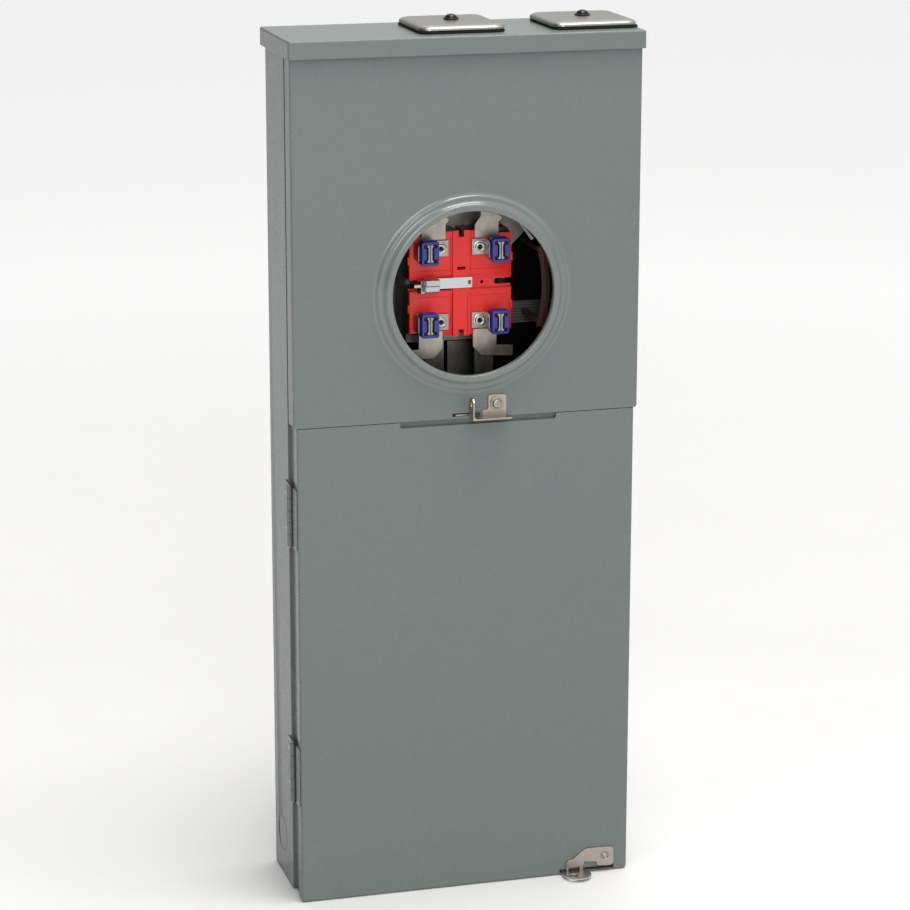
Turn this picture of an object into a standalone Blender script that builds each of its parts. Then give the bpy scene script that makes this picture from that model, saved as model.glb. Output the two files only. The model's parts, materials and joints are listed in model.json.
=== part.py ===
"""Ringless meter socket enclosure with a breaker compartment below it, modelled piece by piece.

Frame: origin at the centre of the flat back that goes against the wall, +Z up, +X to the viewer's
right, and the wall behind at +Y, so the front faces -Y. All lengths are in metres.
"""
import math

import bmesh
import bpy
from mathutils import Matrix, Vector

# ---------------------------------------------------------------- driving dimensions
HEIGHT = 0.850            # bottom of the box to the top of the rain cap
BODY_HALF = 0.169         # half width of the box at the wall
STEP_IN = 0.003           # the front band of the box is stepped in this far
STEP_DEPTH = 0.078        # distance from the wall to that step
LIP_FACE = 0.1138         # distance from the wall to the box's front lips
COVER_FACE = 0.116        # distance from the wall to the painted front
COVER_HALF = 0.172        # half width of the meter cover
DOOR_HALF = 0.1687        # half width of the breaker door
CAP_HALF = 0.174          # half width of the rain cap
CAP_FACE = 0.121          # distance from the wall to the cap's front skirt
CAP_SKIRT = 0.0173        # height of the cap's skirt
SHEET = 0.0016            # painted sheet steel
WALL = 0.0018             # sheet steel of the box
GAP = 0.0003              # air between touching pieces
SEAM_Z = 0.0568           # height of the joint line between meter cover and door
SEAM = 0.0007             # width of that joint line
SOCKET_X = 0.0040         # meter axis, off centre by a few millimetres
SOCKET_Z = 0.1797
RING_INNER = 0.0797       # radius of the meter opening
RING_FOOT = 0.0940        # radius where the raised ring meets the cover
RING_RISE = 0.0070        # height of the ring above the cover
BLOCK_HALF = 0.051        # half size of the square meter block
JAW_DX = 0.0352           # jaw centres from the meter axis
JAW_DZ = 0.0353
JAW_FACE = 0.095          # distance from the wall to the jaw tips
BLOCK_FACE = 0.072        # distance from the wall to the block's face
PAD_DX = 0.0195           # terminal pad centres from the meter axis
STRAP_W = 0.024           # width of the copper straps
HINGE_X = -0.1715         # breaker door's hinge axis
HINGE_Y = -0.093
HINGES_Z = ((-0.0640, -0.0040), (-0.3255, -0.2655))   # bottom and top of each hinge
HINGE_PLATE_BACK = -0.0690 # rear edge of the leaf on the box
DOOR_LATCH_PIVOT = (0.1450, -0.4082)               # x and z of the rivet
METER_LATCH_PIVOT = (0.0285, 0.0706)               # x and z of the screw
HANDLE_AXIS = (0.0, -0.080, -0.065)                # main breaker handle's pivot
HANDLE_TILT = math.radians(20)                     # handle's angle when switched on
LINK_X = (0.0000, 0.0440)  # neutral riser, left and right
LINK_Y = -0.0405          # its rear face
GUARD_X = 0.0985          # wire guard: its rightmost point
GUARD_RADIUS = 0.155
GUARD_SWEEP = 15.5        # half of its arc, in degrees
HUBS_X = (-0.001, 0.130)  # centres of the two hub openings
HUB_Y = -0.058
HUB_W = 0.084             # closing plate across
HUB_D = 0.090             # closing plate front to back

BOTTOM = -HEIGHT / 2
TOP = HEIGHT / 2
LIP_BOTTOM = BOTTOM + 0.0042
COVER_TOP = TOP - 0.0055
BARRIER_Z = 0.0580

# ---------------------------------------------------------------- materials
PAINTS = {
    "grey_paint": ((0.205, 0.235, 0.228), 0.45, 0.0),
    "galvanised": ((0.34, 0.34, 0.33), 0.5, 0.9),
    "stainless": ((0.56, 0.52, 0.47), 0.32, 1.0),
    "tin_plate": ((0.62, 0.60, 0.57), 0.28, 1.0),
    "aluminium": ((0.66, 0.68, 0.70), 0.35, 1.0),
    "red_plastic": ((0.55, 0.022, 0.020), 0.38, 0.0),
    "blue_plastic": ((0.020, 0.030, 0.30), 0.4, 0.0),
    "black_plastic": ((0.012, 0.012, 0.013), 0.45, 0.0),
    "maroon_plastic": ((0.075, 0.020, 0.018), 0.5, 0.0),
    "gasket_rubber": ((0.010, 0.010, 0.010), 0.8, 0.0),
    "zinc_screw": ((0.45, 0.44, 0.42), 0.35, 1.0),
}
painted = {}


def paint(name):
    """Return the material of this name, made on first use."""
    if name not in painted:
        colour, roughness, metallic = PAINTS[name]
        material = bpy.data.materials.new(name)
        material.use_nodes = True
        shader = material.node_tree.nodes["Principled BSDF"]
        shader.inputs["Base Color"].default_value = (*colour, 1.0)
        shader.inputs["Roughness"].default_value = roughness
        shader.inputs["Metallic"].default_value = metallic
        painted[name] = material
    return painted[name]


# ---------------------------------------------------------------- modelling helpers
def clear_scene():
    for thing in list(bpy.data.objects):
        bpy.data.objects.remove(thing, do_unlink=True)


def finish_mesh(name, bm, material, smooth_angle=30):
    """Turn a bmesh into a named object with outward faces and sharp edges kept."""
    bmesh.ops.recalc_face_normals(bm, faces=bm.faces)
    mesh = bpy.data.meshes.new(name)
    bm.to_mesh(mesh)
    bm.free()
    mesh.materials.append(paint(material))
    mesh.shade_smooth()
    mesh.set_sharp_from_angle(angle=math.radians(smooth_angle))
    thing = bpy.data.objects.new(name, mesh)
    bpy.context.collection.objects.link(thing)
    return thing


def arc(centre, radius, start, end, steps):
    """Points on a circle from one angle to another, in degrees, both ends included."""
    points = []
    for i in range(steps + 1):
        angle = math.radians(start + (end - start) * i / steps)
        points.append((centre[0] + radius * math.cos(angle), centre[1] + radius * math.sin(angle)))
    return points


def circle(centre, radius, steps=24):
    return arc(centre, radius, 0, 360, steps)[:-1]


def rectangle(low, high, radius=0.0, steps=3):
    """A rectangle's outline, with rounded corners if it has a radius."""
    if radius <= 0:
        return [low, (high[0], low[1]), high, (low[0], high[1])]
    left, right = low[0] + radius, high[0] - radius
    bottom, top = low[1] + radius, high[1] - radius
    outline = arc((left, bottom), radius, 180, 270, steps)
    outline += arc((right, bottom), radius, 270, 360, steps)
    outline += arc((right, top), radius, 0, 90, steps)
    outline += arc((left, top), radius, 90, 180, steps)
    return outline


def place(point, height, along):
    """Put a flat point at a height along X, Y or Z."""
    a, b = point
    return {"X": Vector((height, a, b)), "Y": Vector((a, height, b)), "Z": Vector((a, b, height))}[along]


def prism(name, outline, along, start, end, material="grey_paint"):
    """A flat outline pushed from one height to another along X, Y or Z."""
    bm = bmesh.new()
    verts = [bm.verts.new(place(point, start, along)) for point in outline]
    face = bm.faces.new(verts)
    pushed = bmesh.ops.extrude_face_region(bm, geom=[face])["geom"]
    moved = [item for item in pushed if isinstance(item, bmesh.types.BMVert)]
    step = place((0, 0), end - start, along)
    bmesh.ops.translate(bm, verts=moved, vec=step)
    return finish_mesh(name, bm, material)


def box(name, low, high, material="grey_paint"):
    return prism(name, rectangle(low[:2], high[:2]), "Z", low[2], high[2], material)


def stack(name, outlines, along, heights, material):
    """A closed loft through outlines of the same number of points, one at each height."""
    bm = bmesh.new()
    rings = []
    for outline, height in zip(outlines, heights):
        rings.append([bm.verts.new(place(point, height, along)) for point in outline])
    bm.faces.new(rings[0])
    bm.faces.new(rings[-1])
    count = len(rings[0])
    for lower, upper in zip(rings, rings[1:]):
        for i in range(count):
            j = (i + 1) % count
            bm.faces.new((lower[i], lower[j], upper[j], upper[i]))
    return finish_mesh(name, bm, material)


def turned(name, profile, centre, along, material, steps=24):
    """A ring or a knob: a closed profile of (radius, height) turned about an axis.

    A profile that touches the axis at both ends makes a solid knob.
    """
    bm = bmesh.new()
    rings = []
    for radius, height in profile:
        if radius < 1e-7:
            rings.append([bm.verts.new(place(centre, height, along))])
            continue
        flat = circle(centre, radius, steps)
        rings.append([bm.verts.new(place(point, height, along)) for point in flat])
    pairs = list(zip(rings, rings[1:]))
    if len(rings[0]) > 1:
        pairs.append((rings[-1], rings[0]))
    for first, second in pairs:
        for i in range(steps):
            j = (i + 1) % steps
            corners = [first[i % len(first)], first[j % len(first)]]
            corners += [second[j % len(second)], second[i % len(second)]]
            unique = list(dict.fromkeys(corners))
            if len(unique) > 2:
                bm.faces.new(unique)
    return finish_mesh(name, bm, material)


def combine(thing, others, operation):
    """Add or take away other shapes with Boolean modifiers; the others become hidden guides."""
    for other in others:
        step = thing.modifiers.new(f"{operation.lower()}_{other.name}", "BOOLEAN")
        step.operation = operation
        step.solver = "EXACT"
        step.object = other
        other.hide_render = True
        other.display_type = "WIRE"
        other.hide_set(True)
    return thing


def cut(thing, *others):
    return combine(thing, others, "DIFFERENCE")


def join(thing, *others):
    return combine(thing, others, "UNION")


def soften(thing, width, segments=2):
    """Round the sharp outer edges of a shape before anything is cut from it."""
    bevel = thing.modifiers.new("soften", "BEVEL")
    bevel.width = width
    bevel.segments = segments
    bevel.limit_method = "ANGLE"
    bevel.angle_limit = math.radians(40)
    return thing


def put_origin(thing, point):
    """Move an object's origin onto its joint's axis and leave its shape where it is."""
    offset = Vector(point)
    thing.data.transform(Matrix.Translation(-offset))
    thing.location = offset


def carry(parent, *children):
    bpy.context.view_layer.update()
    for child in children:
        child.parent = parent
        child.matrix_parent_inverse = parent.matrix_world.inverted()


def side_name(sign):
    return "right" if sign > 0 else "left"


def level_name(sign):
    return "upper" if sign > 0 else "lower"


# ---------------------------------------------------------------- sheet metal casing
def knockout(name, centre, radius, along, surface, inward):
    """A shallow ring groove that marks a punched knockout."""
    depth, width = 0.0005, 0.0009
    low, high = surface - inward * 0.001, surface + inward * depth
    profile = [(radius, low), (radius + width, low), (radius + width, high), (radius, high)]
    return turned(name, profile, centre, along, "grey_paint", 32)


def build_back_box():
    """The folded box: back, sides, floor, front lips and the stepped-in front band."""
    front_half = BODY_HALF - STEP_IN
    top = TOP - SHEET - GAP
    lip = 0.012
    body = box("back_box", (-BODY_HALF, -STEP_DEPTH, BOTTOM), (BODY_HALF, 0, top))
    band = box("guide_band", (-front_half, -LIP_FACE, LIP_BOTTOM), (front_half, -STEP_DEPTH + 0.001, top))
    inside = box("guide_inside", (-BODY_HALF + WALL, -STEP_DEPTH + WALL, BOTTOM + WALL),
                 (BODY_HALF - WALL, -WALL, TOP + 0.01))
    inside_band = box("guide_inside_band",
                      (-front_half + WALL, -LIP_FACE + WALL, LIP_BOTTOM + WALL),
                      (front_half - WALL, -STEP_DEPTH + WALL + 0.001, TOP + 0.01))
    window = box("guide_window", (-front_half + lip, -LIP_FACE - 0.01, LIP_BOTTOM + lip / 2),
                 (front_half - lip, -LIP_FACE + 0.01, top - 0.022))
    join(body, band)
    cut(body, inside, inside_band, window)
    grooves = [knockout("guide_knock_side_left", (-0.033, BOTTOM + 0.043), 0.0175, "X", -BODY_HALF, 1),
               knockout("guide_knock_side_right", (-0.033, BOTTOM + 0.043), 0.0175, "X", BODY_HALF, -1)]
    for x in (-0.095, 0.0, 0.095):
        grooves.append(knockout(f"guide_knock_floor_{x:.3f}", (x, -0.040), 0.026, "Z", BOTTOM, 1))
    holes = []
    for x in (-0.110, 0.110):
        for z in (-0.360, 0.330):
            holes.append(prism(f"guide_screw_hole_{x:.2f}_{z:.2f}", circle((x, z), 0.004, 16),
                               "Y", -0.006, 0.004))
    return cut(body, *grooves, *holes)


def build_top_cap():
    """The rain cap: a flat top with a skirt on three sides and two hub openings."""
    cap = box("top_cap", (-CAP_HALF, -CAP_FACE, TOP - CAP_SKIRT), (CAP_HALF, 0, TOP))
    soften(cap, 0.0012)
    under = box("guide_cap_inside", (-CAP_HALF + SHEET, -CAP_FACE + SHEET, TOP - CAP_SKIRT - 0.01),
                (CAP_HALF - SHEET, 0.01, TOP - SHEET))
    openings = []
    for sign, x in zip((-1, 1), HUBS_X):
        openings.append(prism(f"guide_hub_opening_{side_name(sign)}", circle((x, HUB_Y), 0.031, 32),
                              "Z", TOP - 0.01, TOP + 0.01))
    return cut(cap, under, *openings)


def build_hubs():
    """Two closing plates with rolled-down edges, on rubber gaskets, each held by one screw."""
    for sign, x in zip((-1, 1), HUBS_X):
        side = side_name(sign)

        def outline(inset, radius, shift=0.0):
            low = (x - HUB_W / 2 + inset + shift, HUB_Y - HUB_D / 2 + inset)
            high = (x + HUB_W / 2 - inset + shift, HUB_Y + HUB_D / 2 - inset)
            return rectangle(low, high, radius, 5)

        gasket_top = TOP + GAP + 0.0018
        shift = 0.0012 if sign > 0 else 0.0
        gasket = prism(f"hub_gasket_{side}", outline(-0.0004, 0.010, shift), "Z", TOP + GAP, gasket_top,
                       "gasket_rubber")
        cut(gasket, prism(f"guide_gasket_hole_{side}", circle((x, HUB_Y), 0.030, 32), "Z", TOP - 0.01,
                          TOP + 0.01))
        base = gasket_top + GAP
        rim = [(0.0, 0.010, 0.0), (0.0, 0.010, 0.0016), (0.0007, 0.0095, 0.0034), (0.0022, 0.009, 0.0049),
               (0.0044, 0.008, 0.0057), (0.0080, 0.006, 0.0060)]
        plate = stack(f"hub_plate_{side}", [outline(inset, radius) for inset, radius, _ in rim], "Z",
                      [base + rise for _, _, rise in rim], "galvanised")
        under = prism(f"guide_hub_under_{side}", circle((x, HUB_Y), 0.029, 32), "Z", base - 0.001,
                      base + 0.0040)
        hole = prism(f"guide_hub_hole_{side}", circle((x, HUB_Y), 0.0030, 16), "Z", base - 0.001,
                     base + 0.01)
        cut(plate, under, hole)
        seat = base + 0.0060 + GAP
        profile = [(0, base - 0.004), (0.0026, base - 0.004), (0.0026, seat), (0.0074, seat),
                   (0.0074, seat + 0.0022), (0.0066, seat + 0.0032), (0.0048, seat + 0.0044),
                   (0.0026, seat + 0.0049), (0, seat + 0.0050)]
        turned(f"hub_screw_{side}", profile, (x, HUB_Y), "Z", "zinc_screw")


def build_barrier():
    """The shelf between the meter space and the breaker space, with its front flange."""
    half = BODY_HALF - STEP_IN - WALL - 0.0006
    back = -WALL - GAP
    front = -LIP_FACE + WALL + GAP
    shelf = box("compartment_barrier", (-half, front, BARRIER_Z - WALL), (half, back, BARRIER_Z))
    flange = box("guide_flange", (-half, front, BARRIER_Z - 0.022), (half, front + WALL, BARRIER_Z - 0.0002))
    join(shelf, flange)
    slots = []
    for sign in (-1, 1):
        x = SOCKET_X + sign * 0.025
        slots.append(box(f"guide_bus_slot_{side_name(sign)}", (x - 0.020, -0.085, BARRIER_Z - 0.01),
                         (x + 0.020, -0.050, BARRIER_Z + 0.01)))
    link = box("guide_link_slot", (LINK_X[0] - 0.003, LINK_Y - 0.0055, BARRIER_Z - 0.01),
               (LINK_X[1] + 0.003, LINK_Y + 0.0095, BARRIER_Z + 0.01))
    return cut(shelf, *slots, link)


# ---------------------------------------------------------------- meter cover and its latch
def build_meter_cover():
    """The lift-off cover: a flat front, two side returns and a raised ring round the meter opening."""
    low_z, high_z = SEAM_Z + SEAM / 2, COVER_TOP
    cover = box("meter_cover", (-COVER_HALF, -COVER_FACE, low_z), (COVER_HALF, -COVER_FACE + 0.020, high_z))
    soften(cover, 0.0014)
    hollow = box("guide_cover_hollow", (-COVER_HALF + SHEET, -COVER_FACE + SHEET, low_z - 0.01),
                 (COVER_HALF - SHEET, 0, high_z + 0.01))
    centre = (SOCKET_X, SOCKET_Z)
    hole = prism("guide_cover_hole", circle(centre, RING_FOOT - 0.001, 96), "Y", -0.13, -0.10)
    face = -COVER_FACE
    crest = face - RING_RISE
    outer = [(RING_FOOT + 0.0014, face + 0.0008), (RING_FOOT - 0.0010, face - 0.0004),
             (RING_FOOT - 0.0030, face - 0.0014), (RING_FOOT - 0.0060, face - 0.0028),
             (RING_FOOT - 0.0084, face - 0.0052), (RING_FOOT - 0.0100, crest + 0.0003),
             (RING_FOOT - 0.0114, crest), (RING_INNER + 0.0008, crest), (RING_INNER, crest + 0.0010),
             (RING_INNER, face - 0.0020)]
    inner = [(RING_INNER + 0.0014, face - 0.0020), (RING_INNER + 0.0014, crest + 0.0016),
             (RING_FOOT - 0.0108, crest + 0.0018), (RING_FOOT - 0.0078, face - 0.0022),
             (RING_FOOT - 0.0050, face + 0.0004), (RING_FOOT - 0.0015, face + 0.0022)]
    ring = turned("guide_ring", outer + inner, centre, "Y", "grey_paint", 96)
    slot = prism("guide_staple_slot", rectangle((-0.0154, 0.0590), (0.0120, 0.0624), 0.0012, 2), "Y",
                 -0.13, -0.10)
    screw_hole = prism("guide_cover_screw_hole", circle(METER_LATCH_PIVOT, 0.0029, 16), "Y", -0.13, -0.10)
    cut(cover, hollow, hole)
    join(cover, ring)
    cut(cover, slot, screw_hole)
    put_origin(cover, (0, -COVER_FACE + SHEET / 2, COVER_TOP))
    return cover


def build_meter_latch():
    """The swinging seal latch: a plate on a screw, a shelf bent forward and a tab bent up."""
    thick = 0.0014
    back = -COVER_FACE - GAP
    front = back - thick
    reach = -COVER_FACE - 0.0155
    shelf_top = SEAM_Z + 0.0022
    outline = [(0.0140, shelf_top - 0.0010), (0.0380, shelf_top - 0.0010), (0.0380, 0.0776),
               (0.0366, 0.0790), (0.0214, 0.0790), (0.0200, 0.0776), (0.0200, 0.0662),
               (0.0184, 0.0646), (0.0154, 0.0646), (0.0140, 0.0632)]
    latch = prism("meter_latch", outline, "Y", front, back, "stainless")
    shelf = box("guide_shelf", (0.0030, reach, shelf_top - thick), (0.0396, back - 0.0002, shelf_top),
                "stainless")
    tab = prism("guide_tab", [(reach, shelf_top - thick + 0.0003), (back - 0.0016, shelf_top - thick + 0.0003),
                              (back - 0.0016, 0.0740), (back - 0.0040, 0.0785), (reach + 0.0030, 0.0785),
                              (reach, 0.0755)], "X", 0.0010, 0.0010 + thick + 0.0012, "stainless")
    trim = prism("guide_tab_trim", [(0.0010 + thick, 0.0605), (0.0100, 0.0605), (0.0100, 0.0900),
                                    (0.0010 + thick, 0.0900)], "Y", -0.14, -0.117)
    seal_hole = prism("guide_seal_hole", circle((reach + 0.0068, 0.0720), 0.0026, 16), "X", -0.01, 0.01)
    pivot = prism("guide_latch_pivot", circle(METER_LATCH_PIVOT, 0.0030, 20), "Y", -0.13, -0.10)
    join(latch, shelf, tab)
    cut(latch, trim, seal_hole, pivot)
    put_origin(latch, (METER_LATCH_PIVOT[0], back, METER_LATCH_PIVOT[1]))
    seat = front - GAP
    profile = [(0, -0.1060), (0.0026, -0.1060), (0.0026, seat), (0.0066, seat), (0.0066, seat - 0.0010),
               (0.0058, seat - 0.0020), (0.0040, seat - 0.0028), (0.0022, seat - 0.0030),
               (0.0018, seat - 0.0018), (0, seat - 0.0018)]
    screw = turned("meter_latch_screw", profile, METER_LATCH_PIVOT, "Y", "zinc_screw")
    return latch, screw


def build_meter_staple():
    """The fixed tongue on the shelf that lines up with the slot in the meter cover."""
    low = BARRIER_Z + GAP + 0.0008
    outline = rectangle((-0.0130, -0.1142), (0.0095, -0.0960), 0.0030, 3)
    staple = prism("meter_staple", outline, "Z", low, low + 0.0014, "stainless")
    foot = box("guide_staple_foot", (-0.0120, -0.1050, BARRIER_Z + GAP), (0.0085, -0.0962, low + 0.0004),
               "stainless")
    return join(staple, foot)


# ---------------------------------------------------------------- breaker door, hinges and latch
def build_door():
    """The breaker door: short returns on three sides, a notch in its top edge and a slot at the bottom."""
    high_z = SEAM_Z - SEAM / 2
    door = box("breaker_door", (-DOOR_HALF, -COVER_FACE, BOTTOM), (DOOR_HALF, -COVER_FACE + 0.0125, high_z))
    soften(door, 0.0012)
    hollow = box("guide_door_hollow", (-DOOR_HALF + SHEET, -COVER_FACE + SHEET, BOTTOM + SHEET),
                 (DOOR_HALF - SHEET, 0, high_z + 0.01))
    notch = prism("guide_notch", [(-0.0676, high_z + 0.01), (-0.0676, 0.0525), (-0.0661, 0.0510),
                                  (0.0875, 0.0510), (0.0890, 0.0525), (0.0890, high_z + 0.01)], "Y",
                  -0.13, -0.09)
    slot = prism("guide_door_slot", rectangle((0.0975, BOTTOM + 0.0020), (0.1550, BOTTOM + 0.0060)), "Y",
                 -0.13, -0.113)
    rivet_hole = prism("guide_rivet_hole", circle(DOOR_LATCH_PIVOT, 0.0029, 16), "Y", -0.13, -0.10)
    cut(door, hollow, notch, slot, rivet_hole)
    put_origin(door, (HINGE_X, HINGE_Y, (BOTTOM + SEAM_Z) / 2))
    return door


def build_door_latch():
    """The hook latch on the door, its rivet, and the padlock staple that comes through the door."""
    back = -COVER_FACE - GAP
    front = back - 0.0015
    foot = BOTTOM + 0.0041
    outline = [(0.1043, foot), (0.1066, foot), (0.1066, BOTTOM + 0.0072), (0.1182, BOTTOM + 0.0078),
               (0.1182, foot), (0.1221, foot), (0.1228, BOTTOM + 0.0126), (0.1356, BOTTOM + 0.0112),
               (0.1378, BOTTOM + 0.0068)]
    outline += arc((0.1500, BOTTOM + 0.0098), 0.0042, 270, 360, 3)
    outline += arc((0.1502, BOTTOM + 0.0220), 0.0040, 0, 90, 3)
    outline += [(0.1290, BOTTOM + 0.0264), (0.1232, BOTTOM + 0.0254), (0.1163, BOTTOM + 0.0204),
                (0.1111, BOTTOM + 0.0158), (0.1062, BOTTOM + 0.0150), (0.1043, BOTTOM + 0.0128)]
    latch = prism("door_latch", outline, "Y", front, back, "stainless")
    pivot = prism("guide_rivet_bore", circle(DOOR_LATCH_PIVOT, 0.0030, 20), "Y", -0.13, -0.10)
    cut(latch, pivot)
    put_origin(latch, (DOOR_LATCH_PIVOT[0], back, DOOR_LATCH_PIVOT[1]))
    seat = front - GAP
    inner = -COVER_FACE + SHEET + GAP
    profile = [(0, inner + 0.0010), (0.0040, inner + 0.0010), (0.0042, inner), (0.0026, inner),
               (0.0026, seat), (0.0046, seat), (0.0044, seat - 0.0007), (0.0034, seat - 0.0012),
               (0.0018, seat - 0.0012), (0.0016, seat - 0.0006), (0, seat - 0.0006)]
    rivet = turned("door_latch_rivet", profile, DOOR_LATCH_PIVOT, "Y", "stainless")
    staple_top = BOTTOM + 0.0039
    tongue = [(0.1260, -0.0950), (0.1260, -0.1180)]
    tongue += arc((0.1132, -0.1262), 0.0142, 0, -180, 16)
    tongue += [(0.0990, -0.1190), (0.0990, -0.0950)]
    staple = prism("door_staple", tongue, "Z", staple_top - 0.0014, staple_top, "stainless")
    eye = prism("guide_padlock_eye", circle((0.1080, -0.1300), 0.0050, 24), "Z", BOTTOM - 0.01,
                BOTTOM + 0.02)
    cut(staple, eye)
    return latch, rivet


def leaf(name, plate, knuckles, bottom, top):
    """One hinge leaf: a flat plate with its share of the five knuckles round the pin."""
    height = (top - bottom) / 5
    thing = box(name, (plate[0], plate[2], bottom), (plate[1], plate[3], top), "grey_paint")
    barrel = prism(f"guide_{name}_barrel", circle((HINGE_X, HINGE_Y), 0.0028, 16), "Z", bottom + 0.0001,
                   top - 0.0001, "grey_paint")
    bore = prism(f"guide_{name}_bore", circle((HINGE_X, HINGE_Y), 0.0015, 16), "Z", bottom - 0.001,
                 top + 0.001)
    gaps = []
    for i in range(5):
        if i not in knuckles:
            low = bottom + height * i - (0.001 if i == 0 else GAP / 2)
            high = bottom + height * (i + 1) + (0.001 if i == 4 else GAP / 2)
            gaps.append(box(f"guide_{name}_gap_{i}", (HINGE_X - 0.0040, HINGE_Y - 0.0034, low),
                            (HINGE_X + 0.0040, HINGE_Y + 0.0034, high)))
    join(thing, barrel)
    return cut(thing, bore, *gaps)


def build_hinges():
    """Two butt hinges on the left side; each has a box leaf, a door leaf and a pin."""
    door_leaves = []
    for sign, (bottom, top) in zip((1, -1), HINGES_Z):
        level = level_name(sign)
        box_plate = (-BODY_HALF - GAP - 0.0014, -BODY_HALF - GAP, HINGE_Y + 0.0012, HINGE_PLATE_BACK)
        leaf(f"hinge_leaf_{level}", box_plate, (0, 2, 4), bottom, top)
        door_plate = (-DOOR_HALF - GAP - 0.0014, -DOOR_HALF - GAP, -0.1140, HINGE_Y - 0.0012)
        door_leaves.append(leaf(f"door_leaf_{level}", door_plate, (1, 3), bottom, top))
        low, high = bottom - GAP, top + GAP
        profile = [(0, low - 0.0012), (0.0022, low - 0.0010), (0.0022, low), (0.0012, low),
                   (0.0012, high), (0.0022, high), (0.0022, high + 0.0010), (0, high + 0.0012)]
        turned(f"hinge_pin_{level}", profile, (HINGE_X, HINGE_Y), "Z", "stainless", 16)
    return door_leaves


# ---------------------------------------------------------------- meter socket
def build_socket_bracket():
    """The steel channel that carries the meter block off the back of the box."""
    web, foot, thick = -0.042, -WALL - GAP, 0.0020
    left, right = SOCKET_X - 0.046, SOCKET_X + 0.046
    outline = [(left - 0.020, foot), (left - 0.020, foot - thick), (left, foot - thick), (left, web),
               (right, web), (right, foot - thick), (right + 0.020, foot - thick), (right + 0.020, foot),
               (right - thick, foot), (right - thick, web + thick), (left + thick, web + thick),
               (left + thick, foot)]
    return prism("socket_bracket", outline, "Z", SOCKET_Z - 0.062, SOCKET_Z + 0.150, "galvanised")


def build_meter_block():
    """The moulded block: two halves joined by a raised spine, with notches and ribs."""
    face, back = -BLOCK_FACE, -0.0423
    cx, cz = SOCKET_X + 0.001, SOCKET_Z + 0.001
    left, right = cx - BLOCK_HALF, cx + BLOCK_HALF
    low, high = cz - BLOCK_HALF, cz + BLOCK_HALF
    block = prism("meter_block", rectangle((left, low), (right, high), 0.003, 2), "Y", face, back,
                  "red_plastic")
    spine = box("guide_spine", (cx - 0.0085, face - 0.0025, low - 0.0008), (cx + 0.0085, face + 0.001,
                high + 0.0008), "red_plastic")
    adds, cuts = [spine], []
    for sign in (-1, 1):
        x = cx + sign * 0.0075
        adds.append(box(f"guide_spine_rib_{side_name(sign)}", (x - 0.001, face - 0.0040, low + 0.0010),
                        (x + 0.001, face + 0.001, cz - 0.0100), "red_plastic"))
    cuts.append(box("guide_mid_channel", (left - 0.01, face - 0.01, cz - 0.0062), (cx - 0.0095, face + 0.0060,
                    cz + 0.0050)))
    cuts.append(box("guide_mid_channel_right", (cx + 0.0095, face - 0.01, cz - 0.0062),
                    (right + 0.01, face + 0.0030, cz + 0.0050)))
    cuts.append(prism("guide_mid_notch", rectangle((right - 0.0165, cz - 0.0034), (right + 0.01, cz + 0.0026),
                                                   0.0025, 3), "Y", face - 0.01, back + 0.01))
    cuts.append(prism("guide_left_notch", rectangle((left - 0.01, cz - 0.0045), (left + 0.0085, cz + 0.0045)),
                      "Y", face - 0.01, back + 0.01))
    cuts.append(prism("guide_block_hole", circle((cx + 0.0222, cz - 0.0006), 0.0018, 12), "Y", face - 0.01,
                      back + 0.01))
    cuts.append(box("guide_dark_slot", (cx - 0.0042, face - 0.01, cz + 0.0135), (cx + 0.0042, face + 0.012,
                    cz + 0.0165)))
    for sign in (-1, 1):
        z = cz + sign * BLOCK_HALF
        cuts.append(box(f"guide_spine_notch_{level_name(sign)}", (cx - 0.0026, face - 0.01, z - 0.0055),
                        (cx + 0.0026, back + 0.01, z + 0.0055)))
        for side in (-1, 1):
            x = cx + side * (BLOCK_HALF - 0.012)
            cuts.append(box(f"guide_arm_step_{level_name(sign)}_{side_name(side)}",
                            (x - 0.0125 * (side < 0) - 0.002, face - 0.01, z - 0.0030 * (sign > 0) - 0.0005),
                            (x + 0.0125 * (side > 0) + 0.002, face + 0.0080,
                             z + 0.0030 * (sign < 0) + 0.0005)))
    join(block, *adds)
    return cut(block, *cuts)


def jaw_centre(side, level):
    return SOCKET_X + side * JAW_DX, SOCKET_Z + level * JAW_DZ


def pad_centre(side, level):
    return SOCKET_X + side * PAD_DX, SOCKET_Z + level * (JAW_DZ + 0.0008)


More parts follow.
